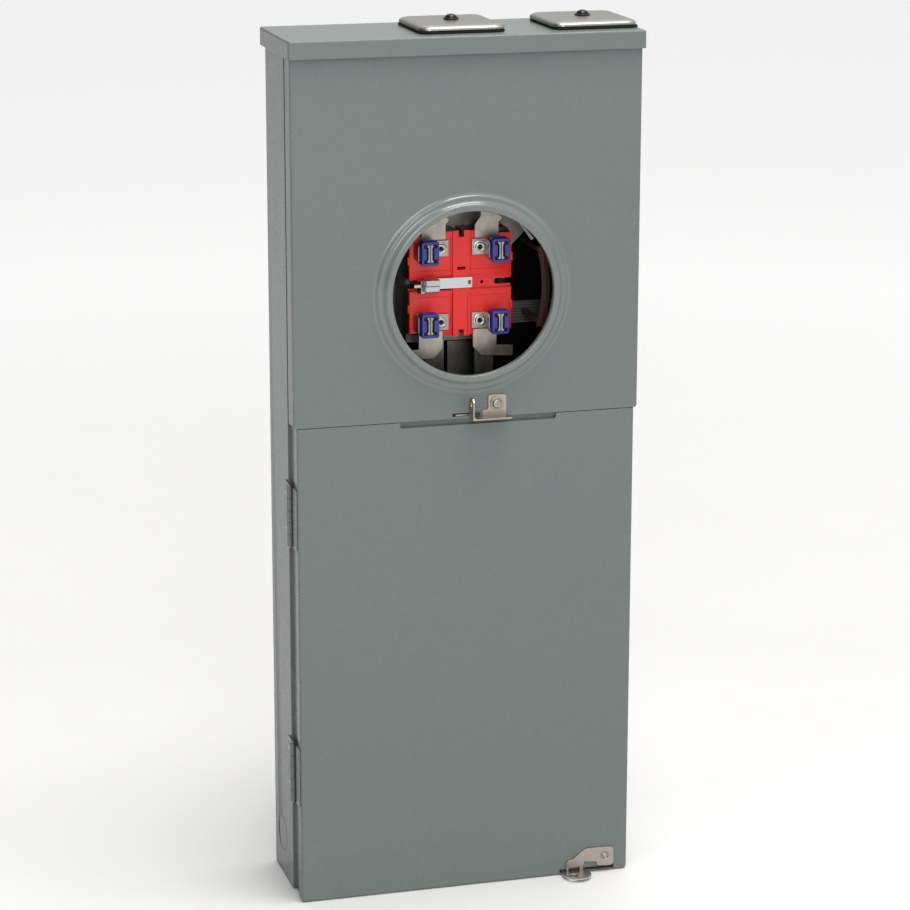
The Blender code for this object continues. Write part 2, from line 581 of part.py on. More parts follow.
def build_jaw(side, level):
    """One spring jaw: a square terminal pad and two upright blades that grip the meter's stab."""
    label = f"{level_name(level)}_{side_name(side)}"
    x, z = jaw_centre(side, level)
    pad_x, pad_z = pad_centre(side, level)
    seat = -BLOCK_FACE - GAP
    seat_front = seat - 0.0018
    near, far = sorted((pad_x - side * 0.0088, x + side * 0.0034))
    jaw = box(f"jaw_{label}", (near, seat_front, pad_z - 0.0084), (far, seat, pad_z + 0.0084), "tin_plate")
    blades = []
    for hand in (-1, 1):
        inner, outer = x + hand * 0.0014, x + hand * 0.0026
        lean = x + hand * 0.0020
        flare = [(inner, seat_front + 0.0005), (outer + hand * 0.0006, seat_front + 0.0005),
                 (outer + hand * 0.0006, -0.0820), (outer, -0.0900), (lean + hand * 0.0014, -JAW_FACE + 0.0002),
                 (lean, -JAW_FACE + 0.0002), (inner, -0.0900)]
        blades.append(prism(f"guide_blade_{label}_{side_name(hand)}", flare, "Z", z - 0.0078, z + 0.0078,
                            "tin_plate"))
    join(jaw, *blades)
    clip = prism(f"jaw_clip_{label}", rectangle((x - 0.0088, z - 0.0117), (x + 0.0088, z + 0.0117), 0.0022, 3),
                 "Y", -JAW_FACE, -0.0830, "blue_plastic")
    soften(clip, 0.0005, 1)
    mouth = prism(f"guide_mouth_{label}", rectangle((x - 0.0042, z - 0.0088), (x + 0.0042, z + 0.0088)), "Y",
                  -0.11, -0.07)
    cut(clip, mouth)
    screw_seat = seat_front - GAP
    profile = [(0, screw_seat), (0.0056, screw_seat), (0.0056, screw_seat - 0.0022),
               (0.0050, screw_seat - 0.0028), (0, screw_seat - 0.0028)]
    screw = turned(f"jaw_screw_{label}", profile, (pad_x, pad_z), "Y", "zinc_screw")
    socket = prism(f"guide_socket_{label}", circle((pad_x, pad_z), 0.0026, 6), "Y", screw_seat - 0.01,
                   screw_seat - 0.0010)
    cut(screw, socket)


def build_line_strap(side):
    """A supply strap that rises from an upper jaw's pad to the line lug."""
    pad_x, pad_z = pad_centre(side, 1)
    x = SOCKET_X + side * 0.0265
    low = pad_z + 0.0084 + GAP
    outline = [(x - STRAP_W / 2, low), (x + STRAP_W / 2, low), (x + STRAP_W / 2, low + 0.0150),
               (x + STRAP_W / 2 + 0.0030, low + 0.0175), (x + STRAP_W / 2 + 0.0030, low + 0.0205),
               (x + STRAP_W / 2, low + 0.0215), (x + STRAP_W / 2, SOCKET_Z + 0.146),
               (x - STRAP_W / 2 + 0.0060, SOCKET_Z + 0.146), (x - STRAP_W / 2 + 0.0060, low + 0.0215),
               (x - STRAP_W / 2, low + 0.0125)]
    seat = -BLOCK_FACE - GAP
    return prism(f"line_strap_{side_name(side)}", outline, "Y", seat - 0.0018, seat, "tin_plate")


def build_load_strap(side):
    """A load strap that drops from a lower jaw's pad, with a bypass tab beside it."""
    pad_x, pad_z = pad_centre(side, -1)
    x = SOCKET_X + side * 0.0265 - (0.0015 if side > 0 else 0.0030)
    high = pad_z - 0.0084 - GAP
    low = SOCKET_Z - 0.0712
    near, far = x - side * STRAP_W / 2, x + side * STRAP_W / 2
    tab = far + side * 0.0165
    outline = [(near, high), (far, high), (far, low + 0.0092), (tab, low + 0.0082), (tab, low - 0.0024),
               (far, low - 0.0012), (near + side * 0.0080, low), (near, low + 0.0090)]
    seat = -BLOCK_FACE - GAP
    return prism(f"load_strap_{side_name(side)}", outline, "Y", seat - 0.0018, seat, "tin_plate")


def build_line_bus(side):
    """A copper bar from a load strap, through the shelf, down to the main breaker."""
    x = SOCKET_X + side * 0.025
    near, far = -0.0716, -0.0686
    high = SOCKET_Z - 0.0530
    outline = [(near, high), (far, high), (far, 0.030), (far + 0.008, 0.020), (far + 0.008, 0.0083),
               (near + 0.008, 0.0083), (near + 0.008, 0.0188), (near, 0.0288)]
    return prism(f"line_bus_{side_name(side)}", outline, "X", x - 0.0095, x + 0.0095, "tin_plate")


def build_line_lugs():
    """Two aluminium wire lugs on the line straps, over an insulating base."""
    base = box("line_lug_base", (SOCKET_X - 0.046, -0.0717, SOCKET_Z + 0.078),
               (SOCKET_X + 0.046, -0.0423, SOCKET_Z + 0.150), "black_plastic")
    soften(base, 0.0015, 1)
    for side in (-1, 1):
        x = SOCKET_X + side * 0.0265 + 0.003
        low = SOCKET_Z + 0.100
        lug = box(f"line_lug_{side_name(side)}", (x - 0.0125, -0.1020, low), (x + 0.0125, -0.0744, low + 0.040),
                  "aluminium")
        soften(lug, 0.0012, 1)
        bore = prism(f"guide_wire_bore_{side_name(side)}", circle((x, -0.0865), 0.0085, 20), "Z", low - 0.01,
                     low + 0.05)
        screw_hole = prism(f"guide_lug_screw_{side_name(side)}", circle((x, low + 0.020), 0.0065, 20), "Y",
                           -0.12, -0.0990)
        cut(lug, bore, screw_hole)


def build_bonding():
    """The small bar across the middle of the block, with a wire clamp at its left end."""
    front = -BLOCK_FACE - 0.0025 - GAP
    cz = SOCKET_Z + 0.0022
    bar = prism("bonding_bar", rectangle((-0.0200, cz - 0.0052), (0.0155, cz + 0.0052), 0.0006, 1), "Y",
                front - 0.0016, front, "aluminium")
    eye = prism("guide_bar_eye", rectangle((0.0112, cz - 0.0022), (0.0142, cz + 0.0022), 0.0012, 2), "Y",
                front - 0.01, front + 0.01)
    cut(bar, eye)
    clamp = box("bonding_clamp", (-0.0340, -0.0900, cz - 0.0085), (-0.0205, -0.0762, cz + 0.0062),
                "tin_plate")
    stud = prism("guide_clamp_stud", circle((-0.0830, cz + 0.0005), 0.0022, 12), "X", -0.0450, -0.0330,
                 "tin_plate")
    nut = prism("guide_clamp_nut", circle((-0.0830, cz + 0.0005), 0.0058, 6), "X", -0.0385, -0.0335,
                "tin_plate")
    wire_way = prism("guide_wire_way", circle((-0.0272, -0.0824), 0.0030, 12), "Z", cz - 0.02, cz + 0.02)
    join(clamp, nut, stud)
    cut(clamp, wire_way)


def build_neutral_link():
    """The neutral bar's riser: a plain plate below the block that passes through the shelf."""
    box("neutral_link", (LINK_X[0], LINK_Y - 0.0020, 0.0120), (LINK_X[1], LINK_Y, SOCKET_Z - 0.0625),
        "galvanised")


def build_wire_guard():
    """A curved plastic strip with a rib along it, on two posts, that keeps wires off the right wall."""
    centre = (GUARD_X - GUARD_RADIUS, SOCKET_Z - 0.0090)
    front, thick = -0.0620, 0.0020

    def band(name, inner, outer, near, far, sweep):
        outline = arc(centre, outer, -sweep, sweep, 12) + arc(centre, inner, sweep, -sweep, 12)
        return prism(name, outline, "Y", near, far, "maroon_plastic")

    strip = band("wire_guard", GUARD_RADIUS - 0.0080, GUARD_RADIUS, front, front + thick, GUARD_SWEEP)
    rib = band("guide_guard_rib", GUARD_RADIUS - 0.0046, GUARD_RADIUS - 0.0032, front - 0.0012,
               front + thick / 2, GUARD_SWEEP - 0.8)
    posts = []
    for sign in (-1, 1):
        angle = math.radians(sign * (GUARD_SWEEP - 1.8))
        x = centre[0] + (GUARD_RADIUS - 0.0040) * math.cos(angle)
        z = centre[1] + (GUARD_RADIUS - 0.0040) * math.sin(angle)
        posts.append(box(f"guide_guard_post_{level_name(sign)}", (x - 0.0022, front + thick / 2, z - 0.0025),
                         (x + 0.0022, -WALL - GAP, z + 0.0025)))
    return join(strip, rib, *posts)


# ---------------------------------------------------------------- breaker compartment
def build_interior():
    """The steel pan and moulded base that carry the breakers, and the bars beside them."""
    back = -WALL - GAP
    pan = [(-0.095, back), (-0.095, back - 0.0016), (-0.080, back - 0.0016), (-0.080, -0.0200),
           (0.080, -0.0200), (0.080, back - 0.0016), (0.095, back - 0.0016), (0.095, back),
           (0.0784, back), (0.0784, -0.0184), (-0.0784, -0.0184), (-0.0784, back)]
    prism("interior_pan", pan, "Z", -0.360, 0.0060, "galvanised")
    base = box("breaker_base", (-0.070, -0.0450, -0.3400), (0.070, -0.0203, -0.1420), "black_plastic")
    ribs = []
    for i in range(5):
        z = -0.3220 + i * 0.0400
        ribs.append(box(f"guide_base_rib_{i}", (-0.066, -0.0520, z - 0.0015), (0.066, -0.0440, z + 0.0015),
                        "black_plastic"))
    join(base, *ribs)
    for side in (-1, 1):
        x = side * 0.018
        box(f"branch_bus_{side_name(side)}", (x - 0.0060, -0.0555, -0.3180), (x + 0.0060, -0.0523, -0.1640),
            "tin_plate")
    for name, x in (("neutral_bar", -0.1240), ("ground_bar", 0.1240)):
        bar = box(name, (x - 0.0065, -0.0300, -0.3300), (x + 0.0065, -0.0180, -0.1200), "aluminium")
        soften(bar, 0.0008, 1)
        foot = box(f"guide_{name}_foot", (x - 0.0050, -0.0185, -0.2300), (x + 0.0050, back, -0.2200),
                   "aluminium")
        join(bar, foot)


def build_main_breaker():
    """The moulded main breaker with a round-backed toggle handle."""
    ax, ay, az = HANDLE_AXIS
    body = box("main_breaker", (-0.0380, -0.0930, -0.1380), (0.0380, -0.0203, 0.0080), "black_plastic")
    soften(body, 0.0015, 1)
    pocket = prism("guide_handle_pocket", circle((ay, az), 0.0154, 32), "X", ax - 0.0134, ax + 0.0134)
    sweep = prism("guide_handle_sweep", [(-0.0800, az - 0.006), (-0.0960, az - 0.0150), (-0.0960, az + 0.0150),
                                         (-0.0800, az + 0.006)], "X", ax - 0.0134, ax + 0.0134)
    ways = []
    for side in (-1, 1):
        x = SOCKET_X + side * 0.025
        ways.append(box(f"guide_terminal_{side_name(side)}", (x - 0.0105, -0.0680, -0.0200),
                        (x + 0.0105, -0.0560, 0.0200)))
    cut(body, pocket, sweep, *ways)
    handle = prism("main_breaker_handle", circle((ay, az), 0.0150, 32), "X", ax - 0.0130, ax + 0.0130,
                   "black_plastic")
    reach = Vector((math.cos(HANDLE_TILT), math.sin(HANDLE_TILT)))
    across = Vector((-reach.y, reach.x))
    corners = []
    for along, wide in ((0.006, -0.0046), (0.0285, -0.0032), (0.0285, 0.0032), (0.006, 0.0046)):
        point = reach * along + across * wide
        corners.append((ay - point.x, az + point.y))
    lever = prism("guide_lever", corners, "X", ax - 0.0105, ax + 0.0105, "black_plastic")
    join(handle, lever)
    put_origin(handle, HANDLE_AXIS)
    return handle


def build_deadfront():
    """The inner cover over the live parts, with the handle window and eight marked breaker spaces."""
    front = -0.0985
    plate = box("deadfront", (-0.1560, front, -0.4020), (0.1560, front + 0.0015, 0.0330), "grey_paint")
    legs = []
    for sign in (-1, 1):
        x = sign * 0.1560
        legs.append(box(f"guide_leg_{side_name(sign)}", (min(x, x - sign * 0.0015), front, -0.4020),
                        (max(x, x - sign * 0.0015), -WALL - GAP - 0.060, 0.0330), "grey_paint"))
    join(plate, *legs)
    ax, _, az = HANDLE_AXIS
    window = prism("guide_window_handle", rectangle((ax - 0.0140, az - 0.0200), (ax + 0.0140, az + 0.0200),
                                                    0.002, 2), "Y", -0.12, -0.09)
    marks = []
    for column in (-1, 1):
        for row in range(4):
            x, z = column * 0.0330, -0.1900 - row * 0.0260
            edge = rectangle((x - 0.0240, z - 0.0110), (x + 0.0240, z + 0.0110))
            marks.append(prism(f"guide_space_{side_name(column)}_{row}", edge, "Y", front - 0.01,
                               front + 0.0004))
    return cut(plate, window, *marks)


# ---------------------------------------------------------------- assembly
def build():
    clear_scene()
    build_back_box()
    build_top_cap()
    build_hubs()
    build_barrier()
    build_socket_bracket()
    build_meter_block()
    for side in (-1, 1):
        for level in (-1, 1):
            build_jaw(side, level)
        build_line_strap(side)
        build_load_strap(side)
        build_line_bus(side)
    build_line_lugs()
    build_bonding()
    build_neutral_link()
    build_wire_guard()
    build_interior()
    build_main_breaker()
    build_deadfront()
    build_meter_staple()
    door = build_door()
    door_latch, rivet = build_door_latch()
    leaves = build_hinges()
    cover = build_meter_cover()
    meter_latch, screw = build_meter_latch()
    carry(door, door_latch, rivet, *leaves)
    carry(cover, meter_latch, screw)


build()
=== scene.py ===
"""Looks of the meter socket enclosure: finishes, pressed sheet fronts, rounded edges and small trim.

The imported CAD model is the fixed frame. Each visible CAD solid is shown as a copy with real rounded
edges; the cover, the door and the rain cap are rebuilt as pressed sheets; and the small trim that needs
no solid of its own is added. Lengths are in metres.
"""
import json
import math

import bmesh
import bpy
from mathutils import Matrix, Vector


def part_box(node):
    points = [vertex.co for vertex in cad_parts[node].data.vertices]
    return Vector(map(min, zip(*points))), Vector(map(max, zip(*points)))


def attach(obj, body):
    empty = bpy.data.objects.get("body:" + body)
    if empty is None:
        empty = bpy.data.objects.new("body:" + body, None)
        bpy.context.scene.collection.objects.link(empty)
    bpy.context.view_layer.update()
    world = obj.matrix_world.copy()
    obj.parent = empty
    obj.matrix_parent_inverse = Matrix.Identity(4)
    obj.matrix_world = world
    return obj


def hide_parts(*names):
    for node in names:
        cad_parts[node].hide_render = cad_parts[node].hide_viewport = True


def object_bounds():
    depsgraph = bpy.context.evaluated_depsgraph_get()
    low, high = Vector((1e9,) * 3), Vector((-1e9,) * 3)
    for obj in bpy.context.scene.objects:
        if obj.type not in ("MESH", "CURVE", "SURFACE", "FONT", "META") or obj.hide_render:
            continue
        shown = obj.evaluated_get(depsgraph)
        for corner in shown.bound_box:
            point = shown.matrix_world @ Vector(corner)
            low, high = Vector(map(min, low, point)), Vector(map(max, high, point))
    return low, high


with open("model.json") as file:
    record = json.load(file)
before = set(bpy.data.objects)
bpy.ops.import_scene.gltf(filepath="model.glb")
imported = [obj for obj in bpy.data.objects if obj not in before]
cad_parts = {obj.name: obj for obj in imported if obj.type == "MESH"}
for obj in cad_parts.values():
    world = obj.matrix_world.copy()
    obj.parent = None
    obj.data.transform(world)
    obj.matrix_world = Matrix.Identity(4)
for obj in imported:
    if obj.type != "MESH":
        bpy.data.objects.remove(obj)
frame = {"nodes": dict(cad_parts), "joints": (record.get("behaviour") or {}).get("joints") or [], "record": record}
cad_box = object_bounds()

SHEET = 0.0016           # painted sheet thickness
BEND = 0.0022            # outer radius of a folded edge
HAIR = 0.0003            # air between touching pieces
LATCH_PLATE = 0.0014     # thickness of the meter latch
DOOR_LATCH_PLATE = 0.0015
OPENING = 0.0797         # radius of the meter opening
RING_FOOT = 0.0940       # radius at which the drawn ring leaves the flat cover
RING_MARGIN = 0.0050     # how far past its foot the ring's glossier enamel may reach
STAPLE_SLOT = ((-0.0154, 0.0590), (0.0120, 0.0624))   # corners of the slot in the cover, in x and z
SCREW_HOLE = 0.0029      # radius of the holes under the two latches
DOOR_NOTCH = (-0.0676, 0.0890)   # left and right ends of the finger notch, and the height of its floor
NOTCH_Z = 0.0510
PADLOCK_SLOT_X = (0.0975, 0.1550)
PADLOCK_SLOT_RISE = (0.0020, 0.0060)   # bottom and top of the padlock slot above the door's bottom edge
HUB_OPENING = 0.031      # radius of the holes under the hub plates
HINGE_PLATE = 0.0020     # how far a hinge plate's outer face stands out from the door's side
HINGE_GAP = (0.0066, 0.0034)   # painted shade in front of a hinge's knuckles: how far, and half its width
RIVET_Y = -0.0765
SIDE_KNOCKOUT = (-0.033, -0.382)   # y and z of its centre
SLIT_RADIUS = 0.0190
# width of the black crescent: the slit itself and, mostly, the painted shadow beside it
SLIT_SHADOW_WIDTH = 0.0042
SLIT_ANGLES = (-60, 40)
PLUG_MARK = (-0.091, 0.1015)   # x and z of its centre
LABEL_X = (0.0750, 0.1250)
LABEL_BELOW_SOCKET = (0.0570, 0.0350)
LABEL_Y = (-0.0024, -0.0020)
RULE_PITCH = 0.0030      # spacing of the rules on the blank label
RED_THICKNESS = 0.0062   # the red moulding in front of the block's black base

# Studio
WARM = (1.0, 0.97, 0.91)
NEAR_FLOOR = (0.74, 0.74, 0.74)
FAR_FLOOR = (0.97, 0.97, 0.97)
FLOOR_FADE = (0.9, 3.0)  # distances between which the near floor turns into the far floor
FLOOR_REACH = 14.0
FLOOR_GAP = 0.0004
WALL_LIGHT = 0.37        # brightness at the horizon and overhead
CEILING_LIGHT = 1.58
CEILING_HEIGHT = 0.9     # where on the unit sphere the ceiling's full brightness begins
LEFT_SHADE = 0.10        # share of the light that is left on the studio's left side
SHADE_SPAN = (-0.7, 0.1)
CAMERA_PLACE = (-0.8011, -2.8980, 0.7778)
CAMERA_ANGLES = (15.820, 14.663, 0.092)   # yaw, pitch down and roll, in degrees
CAMERA_LENS = 122.62     # in millimetres, on a sensor of 36
CAMERA_SENSOR = 36.0

# Linear colours
ENAMEL = (0.149, 0.169, 0.166)
# near black standing for painted shade: inside the meter compartment and in the gap in front of a hinge's knuckles
PAINTED_SHADE = (0.003, 0.003, 0.003)
ZINC = (0.33, 0.315, 0.29)
HUB_ZINC = (0.33, 0.325, 0.305)
STAINLESS = (0.40, 0.36, 0.32)
TIN = (0.365, 0.342, 0.306)
# a darker copy of the tin: painted shade for the line buses deep in the box
SHADED_TIN = (0.15, 0.145, 0.14)
# a darker copy of the tin: painted shade for the neutral riser
SHADED_RISER_TIN = (0.27, 0.26, 0.245)
# the bare rod's bright metal, partly a painted highlight: pale and diffuse in place of its glint
WIRE_HIGHLIGHT = (0.62, 0.62, 0.60)
ALUMINIUM = (0.56, 0.60, 0.64)
RED = (0.78, 0.016, 0.014)
BLUE = (0.020, 0.034, 0.24)
BLACK = (0.008, 0.008, 0.008)
MAROON = (0.080, 0.038, 0.035)
RUBBER = (0.006, 0.006, 0.006)
SCREW = (0.50, 0.49, 0.46)
FOIL = (0.11, 0.11, 0.106)
# near black used as painted shade: clip pockets, screw sockets, the knockout slit's shadow and the neutral riser's
# right edge
SHADE_BLACK = (0.004, 0.004, 0.004)


# ---------------------------------------------------------------- shader building
class Shader:
    """A Principled material with short calls for the procedural detail that drives it."""

    def __init__(self, name, colour, roughness, metallic=0.0):
        self.material = bpy.data.materials.new(name)
        self.material.use_nodes = True
        self.tree = self.material.node_tree
        self.surface = self.tree.nodes["Principled BSDF"]
        self.colour = colour
        self.roughness = roughness
        self.set("Base Color", (*colour, 1.0))
        self.set("Roughness", roughness)
        self.set("Metallic", metallic)
        self.place = self.node("ShaderNodeTexCoord").outputs["Object"]
        self.height = None

    def node(self, kind, **settings):
        made = self.tree.nodes.new(kind)
        for key, value in settings.items():
            setattr(made, key, value)
        return made

    def link(self, output, socket):
        self.tree.links.new(output, socket)

    def set(self, socket, value):
        self.surface.inputs[socket].default_value = value

    def stretched(self, stretch):
        mapping = self.node("ShaderNodeMapping")
        mapping.inputs["Scale"].default_value = stretch
        self.link(self.place, mapping.inputs["Vector"])
        return mapping.outputs["Vector"]

    def noise(self, scale, detail=3.0, stretch=(1, 1, 1), rough=0.55):
        made = self.node("ShaderNodeTexNoise")
        made.inputs["Scale"].default_value = scale
        made.inputs["Detail"].default_value = detail
        made.inputs["Roughness"].default_value = rough
        self.link(self.stretched(stretch), made.inputs["Vector"])
        return made.outputs["Fac"]

    def cells(self, scale, stretch=(1, 1, 1)):
        made = self.node("ShaderNodeTexVoronoi")
        made.inputs["Scale"].default_value = scale
        self.link(self.stretched(stretch), made.inputs["Vector"])
        single = self.node("ShaderNodeSeparateColor")
        self.link(made.outputs["Color"], single.inputs["Color"])
        return single.outputs["Red"]

    def math(self, operation, first, second):
        made = self.node("ShaderNodeMath", operation=operation)
        for socket, value in zip(made.inputs, (first, second)):
            if isinstance(value, (int, float)):
                socket.default_value = value
            else:
                self.link(value, socket)
        return made.outputs["Value"]

    def remap(self, value, low, high, new_low, new_high):
        made = self.node("ShaderNodeMapRange")
        for key, number in (("From Min", low), ("From Max", high), ("To Min", new_low), ("To Max", new_high)):
            made.inputs[key].default_value = number
        self.link(value, made.inputs["Value"])
        return made.outputs["Result"]

    def mix(self, factor, first, second):
        made = self.node("ShaderNodeMix", data_type="RGBA")
        self.link(factor, made.inputs["Factor"])
        for socket, value in ((made.inputs["A"], first), (made.inputs["B"], second)):
            if isinstance(value, tuple):
                socket.default_value = (*value, 1.0)
            else:
                self.link(value, socket)
        return made.outputs["Result"]

    def axes(self):
        made = self.node("ShaderNodeSeparateXYZ")
        self.link(self.place, made.inputs["Vector"])
        return made

    def overpaint(self, mask, colour):
        """Paint another colour over the finish where the mask is 1."""
        under = self.surface.inputs["Base Color"].links[0].from_socket
        self.link(self.mix(mask, under, colour), self.surface.inputs["Base Color"])

    def tint(self, value, amount, low=0.3, high=0.7):
        """Vary the colour a little darker and lighter with a pattern."""
        dark = tuple(part * (1 - amount) for part in self.colour)
        light = tuple(min(1.0, part * (1 + amount)) for part in self.colour)
        result = self.mix(self.remap(value, low, high, 0, 1), dark, light)
        self.link(result, self.surface.inputs["Base Color"])
        return result

    def vary_roughness(self, value, spread, low=0.3, high=0.7):
        result = self.remap(value, low, high, self.roughness - spread, self.roughness + spread)
        self.link(result, self.surface.inputs["Roughness"])

    def bump(self, value, depth):
        """Add relief of this depth in metres; a second call adds to the first."""
        made = self.node("ShaderNodeBump")
        made.inputs["Strength"].default_value = 1.0
        made.inputs["Distance"].default_value = depth
        self.link(value, made.inputs["Height"])
        if self.height is not None:
            self.link(self.height, made.inputs["Normal"])
        self.height = made.outputs["Normal"]
        self.link(self.height, self.surface.inputs["Normal"])


def enamel(name="enamel"):
    """Baked grey-green enamel: a fine orange peel, faint cloudiness and a satin gloss."""
    s = Shader(name, ENAMEL, 0.27)
    s.tint(s.noise(9, 4), 0.008)
    s.vary_roughness(s.noise(60, 3), 0.01)
    s.bump(s.noise(420, 2), 0.000006)
    s.set("Specular IOR Level", 0.22)
    return s


def ring_enamel():
    """The same enamel on the drawn ring, where the pressing tool left it glossier."""
    s = Shader("ring_enamel", ENAMEL, 0.14)
    s.tint(s.noise(9, 4), 0.008)
    s.vary_roughness(s.noise(60, 3), 0.02)
    s.bump(s.noise(420, 2), 0.000004)
    s.set("Specular IOR Level", 0.6)
    return s.material


def enamel_with_painted_shade_inside():
    """The box's enamel, with painted shade that turns it near black inside its meter compartment, above the
    barrier.
    """
    s = enamel("enamel_shaded_inside")
    low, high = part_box("back_box")
    axes = s.axes()
    across = s.math("ABSOLUTE", axes.outputs["X"], 0)
    margin = 0.0009
    wide = s.math("MULTIPLY", s.math("LESS_THAN", across, high[0] - margin),
                  s.math("GREATER_THAN", axes.outputs["Y"], STEP_Y + 0.0012))
    narrow = s.math("LESS_THAN", across, BAND_X - margin)
    shaded_area = s.math("MAXIMUM", wide, narrow)
    for axis, edge, test in (("Y", high[1] - margin, "LESS_THAN"), ("Y", low[1] + margin, "GREATER_THAN"),
                             ("Z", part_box("compartment_barrier")[0][2], "GREATER_THAN")):
        shaded_area = s.math("MULTIPLY", shaded_area, s.math(test, axes.outputs[axis], edge))
    # painted shade over the enamel inside the compartment
    s.overpaint(shaded_area, PAINTED_SHADE)
    return s


def hinge_paint():
    """The enamel on a hinge's leaves, with painted shade: a near-black line in front of the knuckles, where the
    gap lies in shade.
    """
    s = enamel("hinge_paint")
    axis = next(joint["pos_m"] for joint in frame["joints"] if joint["child"] == "breaker_door")
    axes = s.axes()
    offset = s.math("ABSOLUTE", s.math("SUBTRACT", axes.outputs["Y"], axis[1] - HINGE_GAP[0]), 0)
    knuckle_shade = s.math("LESS_THAN", offset, HINGE_GAP[1])
    # painted shade in the gap before the knuckles
    s.overpaint(knuckle_shade, PAINTED_SHADE)
    return s


def dark_zinc():
    """Black-oxide screws with a little shine."""
    s = Shader("dark_zinc", (0.05, 0.05, 0.05), 0.22, 0.9)
    s.tint(s.noise(300, 3), 0.2)
    s.vary_roughness(s.noise(500, 3), 0.06)
    return s


def galvanised():
    """Zinc-coated sheet with a faint spangle."""
    s = Shader("galvanised", ZINC, 0.42, 0.85)
    s.tint(s.cells(140), 0.10, 0, 1)
    s.vary_roughness(s.cells(140), 0.06, 0, 1)
    s.bump(s.noise(700, 2), 0.00002)
    return s


def hub_zinc():
    """The hub plates' dull grey zinc, smoother than the sheet inside, with a grain along X."""
    s = Shader("hub_zinc", HUB_ZINC, 0.30, 0.95)
    grain = s.noise(60, 4, (1, 9, 9))
    s.tint(grain, 0.06)
    s.vary_roughness(grain, 0.05)
    s.bump(s.noise(300, 2, (1, 6, 6)), 0.000004)
    return s


def stainless():
    """Stamped stainless steel with a fine grain along X."""
    s = Shader("stainless", STAINLESS, 0.34, 1.0)
    grain = s.noise(90, 4, (1, 14, 14))
    s.tint(grain, 0.10)
    s.vary_roughness(grain, 0.07)
    s.bump(s.noise(260, 3, (1, 10, 10)), 0.000015)
    return s


def tin_plate(name="tin_plate", colour=TIN):
    """Tin-plated copper: pale, a little mottled, with rolling lines up the strap."""
    s = Shader(name, colour, 0.33, 0.95)
    s.tint(s.noise(75, 5), 0.20)
    s.vary_roughness(s.noise(120, 4, (8, 8, 1)), 0.06)
    s.bump(s.noise(400, 1, (4, 4, 1)), 0.000005)
    return s


def shaded_riser_tin():
    """The neutral riser's tin: a darker copy of the tin, brushed and brighter on its left, with painted shade
    taking it to near black towards its right edge.
    """
    s = tin_plate("shaded_riser_tin", SHADED_RISER_TIN)
    low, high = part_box("neutral_link")
    axes = s.axes()
    away = s.remap(axes.outputs["X"], low[0] + 0.006, high[0] - 0.012, 0, 1)
    # painted shade: near black towards the riser's right edge
    s.overpaint(away, SHADE_BLACK)
    return s


def red_moulding():
    """The red moulding of the meter block, on a black base."""
    s = moulded("red_plastic", RED, 0.36, 0.05)
    axes = s.axes()
    base = s.math("GREATER_THAN", axes.outputs["Y"], BLOCK_FACE + RED_THICKNESS)
    s.overpaint(base, BLACK)
    return s


def aluminium():
    """Extruded aluminium, pale blue-grey, with lines along X."""
    s = Shader("aluminium", ALUMINIUM, 0.38, 0.9)
    grain = s.noise(80, 3, (1, 12, 12))
    s.tint(grain, 0.05)
    s.vary_roughness(grain, 0.06)
    s.bump(grain, 0.00001)
    return s


def moulded(name, colour, roughness, mottle, grain=0.00003):
    """Moulded plastic: slight mottling and the fine texture of its tool."""
    s = Shader(name, colour, roughness)
    s.tint(s.noise(70, 4), mottle)
    s.vary_roughness(s.noise(240, 3), 0.05)
    s.bump(s.noise(1300, 2), grain)
    return s


def rubber():
    s = moulded("gasket_rubber", RUBBER, 0.75, 0.25, 0.00006)
    s.set("Specular IOR Level", 0.3)
    return s


def zinc_screw():
    """Bright zinc plate with a faint turned pattern."""
    s = Shader("zinc_screw", SCREW, 0.30, 1.0)
    s.tint(s.noise(300, 3), 0.10)
    s.vary_roughness(s.noise(500, 3), 0.08)
    s.bump(s.noise(900, 2), 0.00001)
    return s


def foil():
    """A foil label whose print is left out: plain grey rules instead of lettering."""
    s = Shader("foil_label", FOIL, 0.45, 0.5)
    axes = s.axes()
    rules = s.math("FRACT", s.math("MULTIPLY", axes.outputs["Z"], 1 / RULE_PITCH), 0)
    printed = s.math("LESS_THAN", rules, 0.35)
    plain = s.tint(s.noise(25, 3), 0.10)
    light = tuple(1.6 * part for part in FOIL)
    s.link(s.mix(printed, plain, light), s.surface.inputs["Base Color"])
    s.vary_roughness(s.noise(200, 2), 0.05)
    s.bump(s.noise(500, 2), 0.00001)
    return s


# ---------------------------------------------------------------- frame sizes used by the looks
BAND_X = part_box("compartment_barrier")[1][0] + 0.0024     # half width of the box's stepped-in band
BLOCK_FACE = -0.072                                       # the red block's face, and its half size
BLOCK_HALF = 0.051
STEP_Y = -0.078                                           # where the band starts
FLOOR_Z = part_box("back_box")[0][2]
FACE_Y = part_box("breaker_door")[0][1]                     # the painted front
CLIPS = [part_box(f"jaw_clip_{level}_{side}") for level in ("upper", "lower") for side in ("left", "right")]
SOCKET_X = sum(low[0] + high[0] for low, high in CLIPS) / 8
SOCKET_Z = sum(low[2] + high[2] for low, high in CLIPS) / 8

